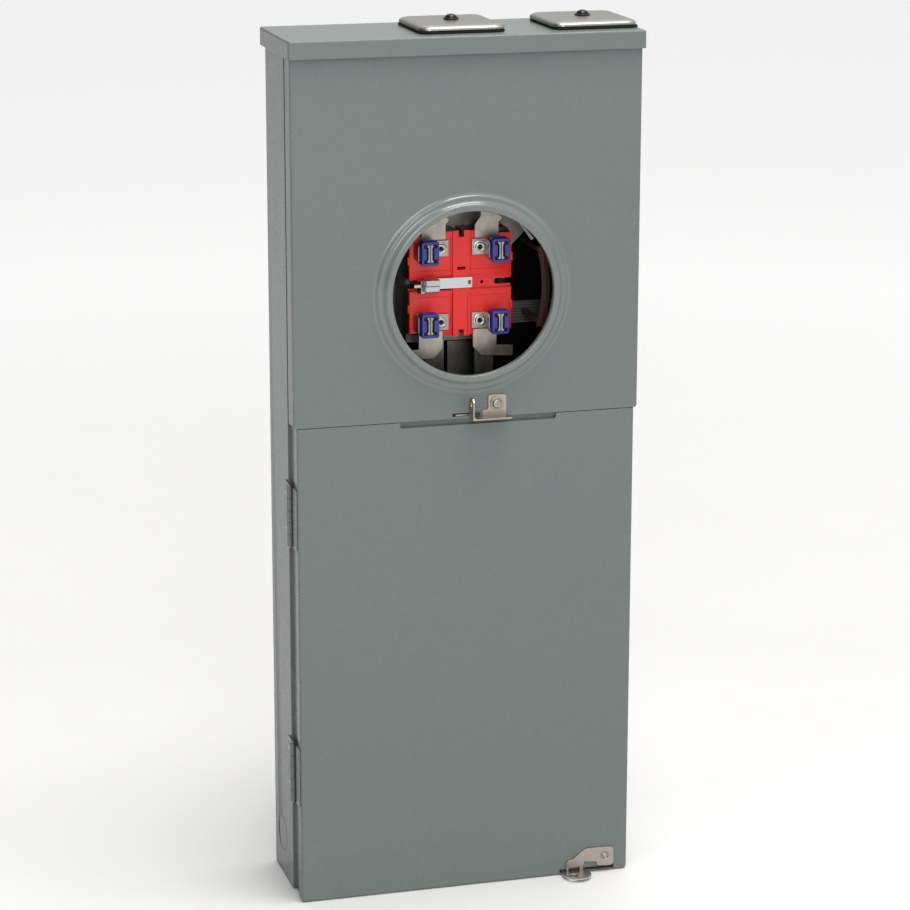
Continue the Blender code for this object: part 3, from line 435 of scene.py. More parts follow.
FINISHES = {
    "grey_paint": enamel(),
    "box_paint_shaded_inside": enamel_with_painted_shade_inside(),
    "galvanised": galvanised(),
    "hub_zinc": hub_zinc(),
    "stainless": stainless(),
    "tin_plate": tin_plate(),
    "aluminium": aluminium(),
    "red_plastic": red_moulding(),
    "blue_plastic": moulded("blue_plastic", BLUE, 0.40, 0.06),
    "black_plastic": moulded("black_plastic", BLACK, 0.42, 0.20),
    "maroon_plastic": moulded("maroon_plastic", MAROON, 0.50, 0.12),
    "gasket_rubber": rubber(),
    "zinc_screw": zinc_screw(),
    "foil_label": foil(),
    # near black for painted shade
    "shade_black": moulded("shade_black", SHADE_BLACK, 0.85, 0.2),
    "dark_zinc": dark_zinc(),
    "shaded_tin": tin_plate("shaded_tin", SHADED_TIN),
    "shaded_riser_tin": shaded_riser_tin(),
    "wire_painted_highlight": moulded("wire_painted_highlight", WIRE_HIGHLIGHT, 0.35, 0.05),
    "hinge_paint": hinge_paint(),
}
NODE_SLOT = {row["node"]: row["material_slot"] for row in frame["record"]["subparts"]}
NODE_BODY = {node: body for body, nodes in frame["record"]["behaviour"]["bodies"].items() for node in nodes}


def finish_of(name):
    return FINISHES[name].material


# ---------------------------------------------------------------- mesh building
def new_piece(name, bm, finish, body, sharp=32):
    """Make an object from a bmesh, shade it, give it its finish and its body."""
    bmesh.ops.recalc_face_normals(bm, faces=bm.faces)
    mesh = bpy.data.meshes.new(name)
    bm.to_mesh(mesh)
    bm.free()
    mesh.shade_smooth()
    mesh.set_sharp_from_angle(angle=math.radians(sharp))
    mesh.materials.append(finish_of(finish))
    piece = bpy.data.objects.new(name, mesh)
    bpy.context.scene.collection.objects.link(piece)
    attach(piece, body)
    return piece


def bevel(piece, width, segments=3, angle=32):
    modifier = piece.modifiers.new("edges", "BEVEL")
    modifier.width = width
    modifier.segments = segments
    modifier.limit_method = "ANGLE"
    modifier.angle_limit = math.radians(angle)
    modifier.harden_normals = True
    modifier.use_clamp_overlap = True
    return piece


def settle(piece):
    """Apply a piece's modifiers, so that its mesh is final."""
    graph = bpy.context.evaluated_depsgraph_get()
    final = bpy.data.meshes.new_from_object(piece.evaluated_get(graph))
    old = piece.data
    piece.modifiers.clear()
    piece.data = final
    bpy.data.meshes.remove(old)
    return piece


def rounded_copy(node, width, segments=3, finish=None):
    """Show a CAD solid as a copy whose edges are really rounded."""
    bm = bmesh.new()
    bm.from_mesh(frame["nodes"][node].data)
    bmesh.ops.remove_doubles(bm, verts=bm.verts, dist=2e-6)
    bmesh.ops.dissolve_limit(bm, angle_limit=math.radians(0.8), verts=bm.verts, edges=bm.edges)
    slot = NODE_SLOT[node]
    piece = new_piece(f"{node}_finished", bm, finish or slot, NODE_BODY[node])
    bevel(piece, width, segments)
    settle(piece)
    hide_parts(node)
    return piece


def place(point, height, along):
    a, b = point
    return {"X": Vector((height, a, b)), "Y": Vector((a, height, b)), "Z": Vector((a, b, height))}[along]


def ring_points(centre, radius, steps):
    turn = 2 * math.pi / steps
    return [(centre[0] + radius * math.cos(i * turn), centre[1] + radius * math.sin(i * turn))
            for i in range(steps)]


def turned(bm, profile, centre, along, steps):
    """Turn a profile of (radius, height) about an axis; a zero radius closes on the axis."""
    rings = []
    for radius, height in profile:
        flat = [centre] if radius < 1e-7 else ring_points(centre, radius, steps)
        rings.append([bm.verts.new(place(point, height, along)) for point in flat])
    for first, second in zip(rings, rings[1:]):
        for i in range(steps):
            j = (i + 1) % steps
            corners = [first[i % len(first)], first[j % len(first)],
                       second[j % len(second)], second[i % len(second)]]
            bm.faces.new(list(dict.fromkeys(corners)))
    return rings


def prism(bm, outline, along, start, end):
    """Push a flat outline from one height to another."""
    lower = [bm.verts.new(place(point, start, along)) for point in outline]
    upper = [bm.verts.new(place(point, end, along)) for point in outline]
    bm.faces.new(lower)
    bm.faces.new(upper)
    for i in range(len(outline)):
        j = (i + 1) % len(outline)
        bm.faces.new((lower[i], lower[j], upper[j], upper[i]))


def block(bm, low, high):
    prism(bm, [(low[0], low[1]), (high[0], low[1]), (high[0], high[1]), (low[0], high[1])], "Z",
          low[2], high[2])


def guide(outline, along, start, end):
    """A shape to cut with; it is removed after the cut."""
    bm = bmesh.new()
    prism(bm, outline, along, start, end)
    bmesh.ops.recalc_face_normals(bm, faces=bm.faces)
    mesh = bpy.data.meshes.new("guide")
    bm.to_mesh(mesh)
    bm.free()
    thing = bpy.data.objects.new("guide", mesh)
    bpy.context.scene.collection.objects.link(thing)
    return thing


def cut(piece, guides):
    for shape in guides:
        modifier = piece.modifiers.new("cut", "BOOLEAN")
        modifier.operation = "DIFFERENCE"
        modifier.solver = "EXACT"
        modifier.object = shape
    settle(piece)
    for shape in guides:
        bpy.data.objects.remove(shape, do_unlink=True)
    return piece


def rectangle(low, high):
    return [(low[0], low[1]), (high[0], low[1]), (high[0], high[1]), (low[0], high[1])]


# ---------------------------------------------------------------- painted sheets
def bend(face, depth, inward, steps=6):
    """Rows of (inset, height) round a folded edge: from the flat sheet to the end of its return."""
    rows = []
    for i in range(steps + 1):
        angle = math.pi / 2 * i / steps
        rows.append((BEND - BEND * math.sin(angle), face + inward * (BEND - BEND * math.cos(angle))))
    rows.append((0.0, face + inward * depth))
    return rows


def fold(bm, path, rows, along, nips=(0.0, 0.0)):
    """Sweep a folded edge along an outline of (a, b, inward a, inward b), and return its inner row.

    Each nip shortens the return at that end of the outline, along the second coordinate."""
    made = []
    for step, (inset, height) in enumerate(rows):
        share = min(1.0, step / 4)
        line = []
        for i, (a, b, inward_a, inward_b) in enumerate(path):
            nip = nips[0] if i == 0 else -nips[1] if i == len(path) - 1 else 0.0
            line.append(bm.verts.new(place((a + inset * inward_a, b + inset * inward_b + nip * share),
                                           height, along)))
        made.append(line)
    for first, second in zip(made, made[1:]):
        for i in range(len(path) - 1):
            bm.faces.new((first[i], first[i + 1], second[i + 1], second[i]))
    return made[0]


def u_path(left, right, near, far, radius, steps=5):
    """A U-shaped outline open at far: down the left side, round both corners and up the right side."""
    path = [(left, far, 1.0, 0.0)]
    for centre_a, start in ((left + radius, 180), (right - radius, 270)):
        for i in range(steps + 1):
            angle = math.radians(start + 90 * i / steps)
            out_a, out_b = math.cos(angle), math.sin(angle)
            path.append((centre_a + radius * out_a, near + radius + radius * out_b, -out_a, -out_b))
    path.append((right, far, -1.0, 0.0))
    return path


def thicken(piece, outer_normal):
    """Give a sheet its thickness away from its outer face."""
    bm = bmesh.new()
    bm.from_mesh(piece.data)
    bmesh.ops.recalc_face_normals(bm, faces=bm.faces)
    largest = max(bm.faces, key=lambda face: face.calc_area())
    if largest.normal.dot(Vector(outer_normal)) < 0:
        bmesh.ops.reverse_faces(bm, faces=bm.faces)
    bm.to_mesh(piece.data)
    bm.free()
    modifier = piece.modifiers.new("thickness", "SOLIDIFY")
    modifier.thickness = SHEET
    modifier.offset = -1.0
    modifier.use_even_offset = True
    settle(piece)


def finish_sheet(piece, width=0.0003):
    """Round a sheet's cut edges, and keep its flat faces shading flat."""
    bevel(piece, width, 2, 50)
    weighted = piece.modifiers.new("flats", "WEIGHTED_NORMAL")
    weighted.mode = "FACE_AREA"
    weighted.weight = 100
    weighted.keep_sharp = True
    return settle(piece)


def ring_profile(inner, foot, crest, face):
    """The raised ring from its foot on the flat sheet to the inside of its rolled lip."""
    rise = face - crest
    points = [(foot + 0.0042, face), (foot + 0.0032, face - 0.00006), (foot + 0.0022, face - 0.00025),
              (foot + 0.0013, face - 0.0006), (foot + 0.0005, face - 0.0012),
              (foot - 0.0002, face - 0.00185), (foot - 0.0008, face - 0.0024), (foot - 0.0016, face - 0.0026),
              (foot - 0.0032, face - 0.0026), (foot - 0.0046, face - 0.0028), (foot - 0.0056, face - 0.0034),
              (foot - 0.0066, face - 0.0045), (foot - 0.0074, face - 0.0057),
              (foot - 0.0082, face - rise + 0.00045), (foot - 0.0092, crest + 0.0001), (foot - 0.0102, crest)]
    roll = 0.0014
    for i in range(9):
        angle = math.pi / 2 * i / 8
        points.append((inner + roll - roll * math.sin(angle), crest + roll - roll * math.cos(angle)))
    points.append((inner, face - 0.0014))
    return points


def gloss_ring(piece):
    """Give the drawn ring's faces the glossier enamel."""
    piece.data.materials.append(ring_enamel())
    for face in piece.data.polygons:
        reach = math.hypot(face.center.x - SOCKET_X, face.center.z - SOCKET_Z)
        if reach < RING_FOOT + RING_MARGIN and face.center.y < FACE_Y - 0.00002:
            face.material_index = 1


def build_cover():
    """The meter cover as one pressed sheet: flat face, two folded sides and the drawn ring."""
    low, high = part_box("meter_cover")
    half, bottom, top, crest = high[0], low[2], high[2], low[1]
    steps = 160
    bm = bmesh.new()
    foot = turned(bm, ring_profile(OPENING, RING_FOOT, crest, FACE_Y), (SOCKET_X, SOCKET_Z), "Y", steps)[0]
    rows = bend(FACE_Y, high[1] - FACE_Y, 1)
    edges = {}
    for side in (-1, 1):
        path = [(side * half, z, -side, 0.0) for z in (bottom, SOCKET_Z, top)]
        edges[side] = fold(bm, path, rows, "Y", (0.0016, 0.0))
    left, right = edges[-1], edges[1]
    upper = foot[:steps // 2 + 1]
    lower = foot[steps // 2:] + foot[:1]
    bm.faces.new([right[1], right[2], left[2], left[1]] + upper[::-1])
    bm.faces.new([left[1], left[0], right[0], right[1]] + lower[::-1])
    piece = new_piece("meter_cover_sheet", bm, "grey_paint", "meter_cover", sharp=50)
    thicken(piece, (0, -1, 0))
    reach = (FACE_Y - 0.01, FACE_Y + 0.01)
    cut(piece, [guide(rectangle(*STAPLE_SLOT), "Y", *reach),
                guide(ring_points(pivot_of("meter_latch"), SCREW_HOLE, 24), "Y", *reach)])
    finish_sheet(piece)
    gloss_ring(piece)
    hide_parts("meter_cover")


def build_door():
    """The breaker door as one pressed sheet, with its finger notch and its padlock slot."""
    low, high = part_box("breaker_door")
    half, bottom, top = high[0], low[2], high[2]
    bm = bmesh.new()
    path = u_path(-half, half, bottom, top, BEND + 0.0010)
    bm.faces.new(fold(bm, path, bend(FACE_Y, high[1] - FACE_Y, 1), "Y"))
    piece = new_piece("breaker_door_sheet", bm, "grey_paint", "breaker_door", sharp=50)
    thicken(piece, (0, -1, 0))
    reach = (FACE_Y - 0.01, FACE_Y + 0.03)
    notch_low, notch_high = DOOR_NOTCH
    notch = [(notch_low, top + 0.01), (notch_low, NOTCH_Z + 0.0015), (notch_low + 0.0015, NOTCH_Z),
             (notch_high - 0.0015, NOTCH_Z), (notch_high, NOTCH_Z + 0.0015), (notch_high, top + 0.01)]
    slot = rectangle((PADLOCK_SLOT_X[0], bottom + PADLOCK_SLOT_RISE[0]),
                     (PADLOCK_SLOT_X[1], bottom + PADLOCK_SLOT_RISE[1]))
    cut(piece, [guide(notch, "Y", *reach), guide(slot, "Y", FACE_Y - 0.01, FACE_Y + 0.003),
                guide(ring_points(pivot_of("door_latch"), SCREW_HOLE, 24), "Y", *reach)])
    finish_sheet(piece)
    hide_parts("breaker_door")


def build_cap():
    """The rain cap as one pressed sheet with a skirt on three sides and two hub openings."""
    low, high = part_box("top_cap")
    bm = bmesh.new()
    path = u_path(low[0], high[0], low[1], high[1], BEND + 0.0004)
    bm.faces.new(fold(bm, path, bend(high[2], high[2] - low[2], -1), "Z"))
    piece = new_piece("top_cap_sheet", bm, "grey_paint", "enclosure", sharp=50)
    thicken(piece, (0, 0, 1))
    guides = []
    for side in ("left", "right"):
        plate_low, plate_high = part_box(f"hub_plate_{side}")
        middle = (plate_low + plate_high) / 2
        guides.append(guide(ring_points((middle[0], middle[1]), HUB_OPENING, 48), "Z", high[2] - 0.01,
                            high[2] + 0.01))
    cut(piece, guides)
    finish_sheet(piece)
    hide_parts("top_cap")


def pivot_of(child):
    """The x and z of the joint that turns a body."""
    for joint in frame["joints"]:
        if joint["child"] == child:
            return joint["pos_m"][0], joint["pos_m"][2]
    raise ValueError(f"no joint turns {child}")


# ---------------------------------------------------------------- hub plates
def rounded_outline(low, high, radius, steps=8):
    """A rectangle's outline with rounded corners."""
    points = []
    for a, b, start in ((high[0] - radius, high[1] - radius, 0), (low[0] + radius, high[1] - radius, 90),
                        (low[0] + radius, low[1] + radius, 180), (high[0] - radius, low[1] + radius, 270)):
        for i in range(steps + 1):
            angle = math.radians(start + 90 * i / steps)
            points.append((a + radius * math.cos(angle), b + radius * math.sin(angle)))
    return points


def loft(bm, outlines, along, heights):
    """Join outlines of equal length at their heights, and close both ends."""
    rows = [[bm.verts.new(place(point, height, along)) for point in outline]
            for outline, height in zip(outlines, heights)]
    for first, second in zip(rows, rows[1:]):
        for i in range(len(first)):
            j = (i + 1) % len(first)
            bm.faces.new((first[i], first[j], second[j], second[i]))
    bm.faces.new(rows[0])
    bm.faces.new(rows[-1])


def build_hub(side):
    """One closing plate with rolled-down edges and a crowned top, and its domed bolt."""
    low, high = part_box(f"hub_plate_{side}")
    top, base = high[2], low[2]
    skirt = base + 0.0012
    roll = 0.0075
    rows = [(0.0016, base), (0.0004, base + 0.0003), (0.0, base + 0.0008)]
    for i in range(10):
        angle = math.pi / 2 * i / 9
        rows.append((roll * (1 - math.cos(angle)), skirt + (top - 0.0005 - skirt) * math.sin(angle)))
    rows += [(0.020, top - 0.00015), (0.036, top)]
    outlines = []
    for inset, _ in rows:
        radius = max(0.0015, 0.0105 - inset * 0.75)
        outlines.append(rounded_outline((low[0] + inset, low[1] + inset),
                                        (high[0] - inset, high[1] - inset), radius))
    bm = bmesh.new()
    loft(bm, outlines, "Z", [height for _, height in rows])
    piece = new_piece(f"hub_plate_{side}_crowned", bm, "hub_zinc", "enclosure", 60)
    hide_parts(f"hub_plate_{side}")
    build_hub_bolt(side)


def build_hub_bolt(side):
    """The bolt: a dark washer, a round flange and a domed head in dark zinc."""
    node = f"hub_screw_{side}"
    low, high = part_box(node)
    centre = ((low[0] + high[0]) / 2, (low[1] + high[1]) / 2)
    radius = (high[0] - low[0]) / 2
    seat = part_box(f"hub_plate_{side}")[1][2] + HAIR
    top = high[2]
    washer = bmesh.new()
    turned(washer, [(0, low[2]), (0.0024, low[2]), (0.0024, seat), (radius - 0.0003, seat),
                    (radius, seat + 0.0004), (radius, seat + 0.0010), (radius - 0.0004, seat + 0.0013),
                    (0, seat + 0.0013)], centre, "Z", 48)
    new_piece(f"{node}_washer", washer, "black_plastic", "enclosure", 40)
    dome = bmesh.new()
    profile = [(0, seat + 0.0010), (0.0058, seat + 0.0010), (0.0058, seat + 0.0022)]
    for i in range(9):
        angle = math.pi / 2 * i / 8
        profile.append((0.0054 * math.cos(angle), seat + 0.0022 + (top - seat - 0.0022) * math.sin(angle)))
    profile[-1] = (0, top)
    turned(dome, profile, centre, "Z", 48)
    piece = new_piece(f"{node}_dome", dome, "dark_zinc", "enclosure", 40)
    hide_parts(node)


# ---------------------------------------------------------------- carried-over solids
ROUNDED = {
    # the box's enamel carries painted shade inside its meter compartment
    "back_box": (0.0008, 2, "box_paint_shaded_inside"), "compartment_barrier": (0.0004, 2, None),
    "socket_bracket": (0.0005, 2, None), "meter_block": (0.0004, 2, None),
    "line_lug_base": (0.0006, 2, None), "bonding_bar": (0.00025, 2, None),
    "neutral_link": (0.0003, 2, "shaded_riser_tin"),
    "wire_guard": (0.0004, 2, None), "interior_pan": (0.0004, 2, None),
    "breaker_base": (0.0006, 2, None), "main_breaker": (0.0006, 2, None),
    "main_breaker_handle": (0.0008, 2, None), "deadfront": (0.00035, 2, None),
    "neutral_bar": (0.0005, 2, None), "ground_bar": (0.0005, 2, None),
    "door_staple": (0.00035, 2, "zinc_screw"), "meter_staple": (0.00035, 2, None),
    "door_latch": (0.00035, 2, None),
    "meter_latch": (0.00035, 2, None),
    "hub_gasket_left": (0.0004, 2, None), "hub_gasket_right": (0.0004, 2, None),
}
for side in ("left", "right"):
    for node in ("line_strap", "load_strap", "branch_bus"):
        ROUNDED[f"{node}_{side}"] = (0.00035, 2, None)
    # the line buses get the shaded copy of the tin, as painted shade
    ROUNDED[f"line_bus_{side}"] = (0.00035, 2, "shaded_tin")
    ROUNDED[f"line_lug_{side}"] = (0.0006, 2, None)
for level in ("upper", "lower"):
    ROUNDED[f"hinge_leaf_{level}"] = (0.0003, 2, "hinge_paint")
    ROUNDED[f"door_leaf_{level}"] = (0.0003, 2, "hinge_paint")
    ROUNDED[f"hinge_pin_{level}"] = (0.0002, 2, None)


def finish_carried_over():
    for node, (width, segments, finish) in ROUNDED.items():
        rounded_copy(node, width, segments, finish)
    for node, thing in frame["nodes"].items():
        thing.data.materials.clear()
        thing.data.materials.append(finish_of(NODE_SLOT[node]))


# ---------------------------------------------------------------- meter socket details
def build_clip(level, side):
    """A jaw clip: a rounded blue shell with four corner pockets round a pair of flared blades."""
    node = f"jaw_clip_{level}_{side}"
    low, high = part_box(node)
    x, z = (low[0] + high[0]) / 2, (low[2] + high[2]) / 2
    half_x, half_z = (high[0] - low[0]) / 2, (high[2] - low[2]) / 2
    bm = bmesh.new()
    front, back = low[1], high[1]
    rows = ((0.0014, front), (0.0005, front + 0.0003), (0.0, front + 0.0012), (0.0, back))
    outlines = [rounded_outline((x - half_x + inset, z - half_z + inset),
                                (x + half_x - inset, z + half_z - inset),
                                0.0026 - inset * 0.7, 4) for inset, _ in rows]
    loft(bm, outlines, "Y", [height for _, height in rows])
    shell = new_piece(f"{node}_shell", bm, "blue_plastic", "enclosure", 40)
    cuts = [guide(rectangle((x - 0.0034, z - 0.0088), (x + 0.0034, z + 0.0088)), "Y", front - 0.01,
                  back + 0.01)]
    for hand in (-1, 1):
        for end in (-1, 1):
            corner = (x + hand * 0.0049, z + end * 0.0073)
            cuts.append(guide(rectangle((corner[0] - 0.0017, corner[1] - 0.0019),
                                        (corner[0] + 0.0017, corner[1] + 0.0019)), "Y", front - 0.01,
                              front + 0.0070))
        cuts.append(guide(rectangle((x + hand * 0.0035 - 0.0002, z - 0.0054), (x + hand * 0.0035 + 0.0002,
                                                                               z + 0.0054)), "Y",
                          front - 0.01, front + 0.0040))
    cut(shell, cuts)
    bevel(shell, 0.00022, 2)
    settle(shell)
    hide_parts(node)
    # Painted shade: near-black blocks inside the four corner pockets and behind the blades' slot.
    pocket_shade = bmesh.new()
    block(pocket_shade, (x - 0.0033, back - 0.0016, z - 0.0087), (x + 0.0033, back - 0.0004, z + 0.0087))
    for hand in (-1, 1):
        for end in (-1, 1):
            corner = (x + hand * 0.0049, z + end * 0.0073)
            block(pocket_shade, (corner[0] - 0.0016, front + 0.0012, corner[1] - 0.0018),
                  (corner[0] + 0.0016, front + 0.0069, corner[1] + 0.0018))
    new_piece(f"{node}_pockets", pocket_shade, "shade_black", "enclosure")
    build_blades(level, side, (x, z), front)


def build_blades(level, side, centre, front):
    """The jaw's two blades with flared ends, its side wing and its terminal pad."""
    node = f"jaw_{level}_{side}"
    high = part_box(node)[1]
    x, z = centre
    bm = bmesh.new()
    for hand in (-1, 1):
        outline = [(x + hand * 0.00030, z - 0.0084), (x + hand * 0.0030, z - 0.0084),
                   (x + hand * 0.0030, z - 0.0070), (x + hand * 0.0019, z - 0.0056),
                   (x + hand * 0.0019, z + 0.0056), (x + hand * 0.0030, z + 0.0070),
                   (x + hand * 0.0030, z + 0.0084), (x + hand * 0.00030, z + 0.0084)]
        prism(bm, outline, "Y", front + 0.0007, high[1] - 0.0010)
    pad = pad_outline(level, side)
    prism(bm, pad, "Y", high[1] - 0.0018, high[1])
    wing_x = x - 0.0105
    wing = [(high[1] - 0.0006, z - 0.0084), (high[1] - 0.0006, z + 0.0084), (front + 0.0058, z + 0.0084),
            (front + 0.0046, z + 0.0072), (front + 0.0046, z - 0.0072), (front + 0.0058, z - 0.0084)]
    prism(bm, wing, "X", wing_x - 0.0005, wing_x + 0.0005)
    pad_edge = pad[0][0]
    if pad_edge > wing_x:
        block(bm, (wing_x - 0.0004, high[1] - 0.0015, z - 0.0075),
              (pad_edge + 0.0004, high[1] - 0.0003, z + 0.0075))
    piece = new_piece(f"{node}_plates", bm, "tin_plate", "enclosure")
    bevel(piece, 0.00025, 2)
    settle(piece)
    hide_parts(node)


def pad_outline(level, side):
    """The square terminal pad behind a jaw's screw."""
    low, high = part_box(f"jaw_screw_{level}_{side}")
    x, z = (low[0] + high[0]) / 2, (low[2] + high[2]) / 2
    half = 0.0078
    return rectangle((x - half, z - half), (x + half, z + half))


def build_screw(level, side):
    """A terminal screw: a washer ring, a rounded head and a deep round socket, with painted shade in the shape of
    a hexagon at its bottom.
    """
    node = f"jaw_screw_{level}_{side}"
    low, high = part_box(node)
    centre = ((low[0] + high[0]) / 2, (low[2] + high[2]) / 2)
    seat, front = high[1], low[1]
    bm = bmesh.new()
    profile = [(0, seat), (0.0060, seat), (0.0063, seat - 0.0003), (0.0063, seat - 0.0008),
               (0.0060, seat - 0.0010), (0.0050, seat - 0.0010), (0.0050, front + 0.0008),
               (0.0047, front + 0.0003), (0.0042, front), (0.0030, front), (0.0026, front + 0.0003),
               (0.0025, seat - 0.0008), (0, seat - 0.0008)]
    turned(bm, profile, centre, "Y", 40)
    piece = new_piece(f"{node}_head", bm, "zinc_screw", "enclosure", 40)
    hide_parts(node)
    # Painted shade: a near-black hexagon at the bottom of the socket.
    socket_shade = bmesh.new()
    prism(socket_shade, ring_points(centre, 0.0024, 6), "Y", seat - 0.0013, seat - 0.00085)
    new_piece(f"{node}_socket", socket_shade, "shade_black", "enclosure")


def build_block():
    """The red block's raised border lines and edge tabs, on the CAD solid."""
    low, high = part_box("meter_block")
    face = BLOCK_FACE
    cx, cz = (low[0] + high[0]) / 2, (low[2] + high[2]) / 2
    bm = bmesh.new()
    rib, gap = 0.0007, 0.0095
    for hand in (-1, 1):
        for end in (-1, 1):
            inner_x, outer_x = cx + hand * gap, cx + hand * (BLOCK_HALF - 0.0035)
            inner_z, outer_z = cz + end * 0.0125, cz + end * (BLOCK_HALF - 0.0060)
            block(bm, *span((inner_x, outer_x), (face - rib, face + 0.0004), (inner_z, inner_z + end * rib)))
            block(bm, *span((inner_x, inner_x + hand * rib), (face - rib, face + 0.0004),
                            (inner_z, outer_z)))
            edge = cx + hand * BLOCK_HALF
            tab_z = cz + end * 0.0235
            block(bm, *span((edge - hand * 0.0004, edge + hand * 0.0016), (face + 0.0010, face + 0.0034),
                            (tab_z - 0.0040, tab_z + 0.0040)))
            rim_z = cz + end * 0.0066
            block(bm, *span((inner_x + hand * 0.001, cx + hand * (BLOCK_HALF - 0.0018)),
                            (face - 0.0005, face + 0.0004), (rim_z, rim_z + end * 0.0009)))
    piece = new_piece("meter_block_ribs", bm, "red_plastic", "enclosure")
    bevel(piece, 0.0002, 2)
    settle(piece)


def span(*ranges):
    """The low and high corner of a box from three pairs of limits, in any order."""
    ordered = [sorted(pair) for pair in ranges]
    return tuple(pair[0] for pair in ordered), tuple(pair[1] for pair in ordered)


def build_bonding_details():
    """The bonding bar's wire clamp: two folded plates on a saddle, and the end of its wire."""
    low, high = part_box("bonding_clamp")
    z = (low[2] + high[2]) / 2
    bm = bmesh.new()
    left = high[0] - 0.0135
    for start, drop in ((0.0002, 0.0), (0.0042, 0.0016)):
        upper = high[2] - start * 1.5
        outline = [(low[1] + drop, upper), (low[1] + drop + 0.0010, upper + 0.0006),
                   (high[1], upper + 0.0006), (high[1], upper - 0.0062),
                   (low[1] + drop + 0.0012, upper - 0.0062),
                   (low[1] + drop, upper - 0.0050)]
        prism(bm, outline, "X", left, high[0])
    saddle = [(left + 0.0006, high[1] - 0.0060), (left - 0.0034, high[1] - 0.0072),
              (left - 0.0060, high[1] - 0.0040), (left - 0.0060, high[1]), (left + 0.0006, high[1])]
    prism(bm, saddle, "Z", z - 0.0064, z + 0.0058)
    turned(bm, [(0, low[0]), (0.0018, low[0]), (0.0022, low[0] + 0.0004), (0.0022, left - 0.0040),
                (0, left - 0.0040)], (low[1] + 0.0070, z + 0.0012), "X", 24)
    piece = new_piece("bonding_clamp_folded", bm, "zinc_screw", "enclosure")
    bevel(piece, 0.0003, 2)
    settle(piece)
    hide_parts("bonding_clamp")


def build_socket_trim():
    """Small parts round the socket: screws below a strap, a side bracket, a rod and a blank label."""
    strap_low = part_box("load_strap_left")[0]
    bm = bmesh.new()
    for x in (strap_low[0] + 0.0235, strap_low[0] + 0.0325):
        turned(bm, [(0, -0.0650), (0.0034, -0.0650), (0.0040, -0.0656), (0.0042, -0.0676),
                    (0.0030, -0.0700), (0.0012, -0.0708), (0, -0.0709)], (x, strap_low[2] - 0.0028), "Y", 32)
    new_piece("bypass_screws", bm, "dark_zinc", "enclosure", 40)
    plate = bmesh.new()
    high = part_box("meter_block")[1]
    x, z = high[0], high[2]
    outline = [(x - 0.004, z - 0.0180), (x + 0.0085, z - 0.0215), (x + 0.0215, z - 0.0090),
               (x + 0.0290, z - 0.0020), (x + 0.0290, z + 0.0450), (x - 0.0160, z + 0.0450), (x - 0.0160, z)]
    prism(plate, outline, "Y", -0.0460, -0.0446)
    piece = new_piece("side_bracket", plate, "tin_plate", "enclosure")
    bevel(piece, 0.0003, 2)
    settle(piece)
    # The rod's pale, diffuse colour is partly its bright metal and partly a painted highlight in place of its
    # glint.
    rod = bmesh.new()
    prism(rod, [(x + 0.0098, z + 0.0030), (x + 0.0116, z + 0.0038), (x + 0.0254, z - 0.0136),
                (x + 0.0230, z - 0.0149)], "Y", -0.0640, -0.0600)
    piece = new_piece("bracket_edge", rod, "wire_painted_highlight", "enclosure")
    bevel(piece, 0.0003, 2)
    settle(piece)
    label = bmesh.new()
    block(label, (LABEL_X[0], LABEL_Y[0], SOCKET_Z - LABEL_BELOW_SOCKET[0]),
          (LABEL_X[1], LABEL_Y[1], SOCKET_Z - LABEL_BELOW_SOCKET[1]))
    new_piece("blank_label", label, "foil_label", "enclosure")


def build_latch_screw():
    """The meter latch's screw: a broad flange, a groove and a domed head with a square recess."""
    low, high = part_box("meter_latch_screw")
    centre = pivot_of("meter_latch")
    radius = (high[0] - low[0]) / 2
    front = low[1]
    seat = FACE_Y - HAIR - LATCH_PLATE - HAIR
    bm = bmesh.new()
    profile = [(0, high[1]), (0.0025, high[1]), (0.0025, seat), (radius - 0.0003, seat),
               (radius, seat - 0.0003),
               (radius, seat - 0.0008), (radius - 0.0005, seat - 0.0012), (0.0052, seat - 0.0011),
               (0.0049, seat - 0.0008), (0.0046, seat - 0.0010), (0.0044, seat - 0.0018),
               (0.0038, front + 0.0003), (0.0028, front), (0, front)]
    turned(bm, profile, centre, "Y", 48)
    piece = new_piece("meter_latch_screw_head", bm, "stainless", "meter_cover", 40)
    cut(piece, [guide(ring_points(centre, 0.0022, 4), "Y", front - 0.01, front + 0.0012)])
    bevel(piece, 0.00015, 2)
    settle(piece)
    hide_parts("meter_latch_screw")


def build_door_rivet():
    """The door latch's rivet: a rolled ring round a small domed centre."""
    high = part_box("door_latch_rivet")[1]
    seat = FACE_Y - HAIR - DOOR_LATCH_PLATE - HAIR
    bm = bmesh.new()
    profile = [(0, high[1]), (0.0038, high[1]), (0.0041, FACE_Y + SHEET + HAIR),
               (0.0026, FACE_Y + SHEET + HAIR), (0.0026, seat), (0.0039, seat), (0.0043, seat - 0.0003),
               (0.0042, seat - 0.0007), (0.0037, seat - 0.0009), (0.0032, seat - 0.0006),
               (0.0029, seat - 0.0001), (0.0024, seat - 0.0001), (0.0020, seat - 0.0007),
               (0.0010, seat - 0.0011), (0, seat - 0.0012)]
    turned(bm, profile, pivot_of("door_latch"), "Y", 40)
    piece = new_piece("door_latch_rivet_rolled", bm, "stainless", "breaker_door", 50)
    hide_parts("door_latch_rivet")


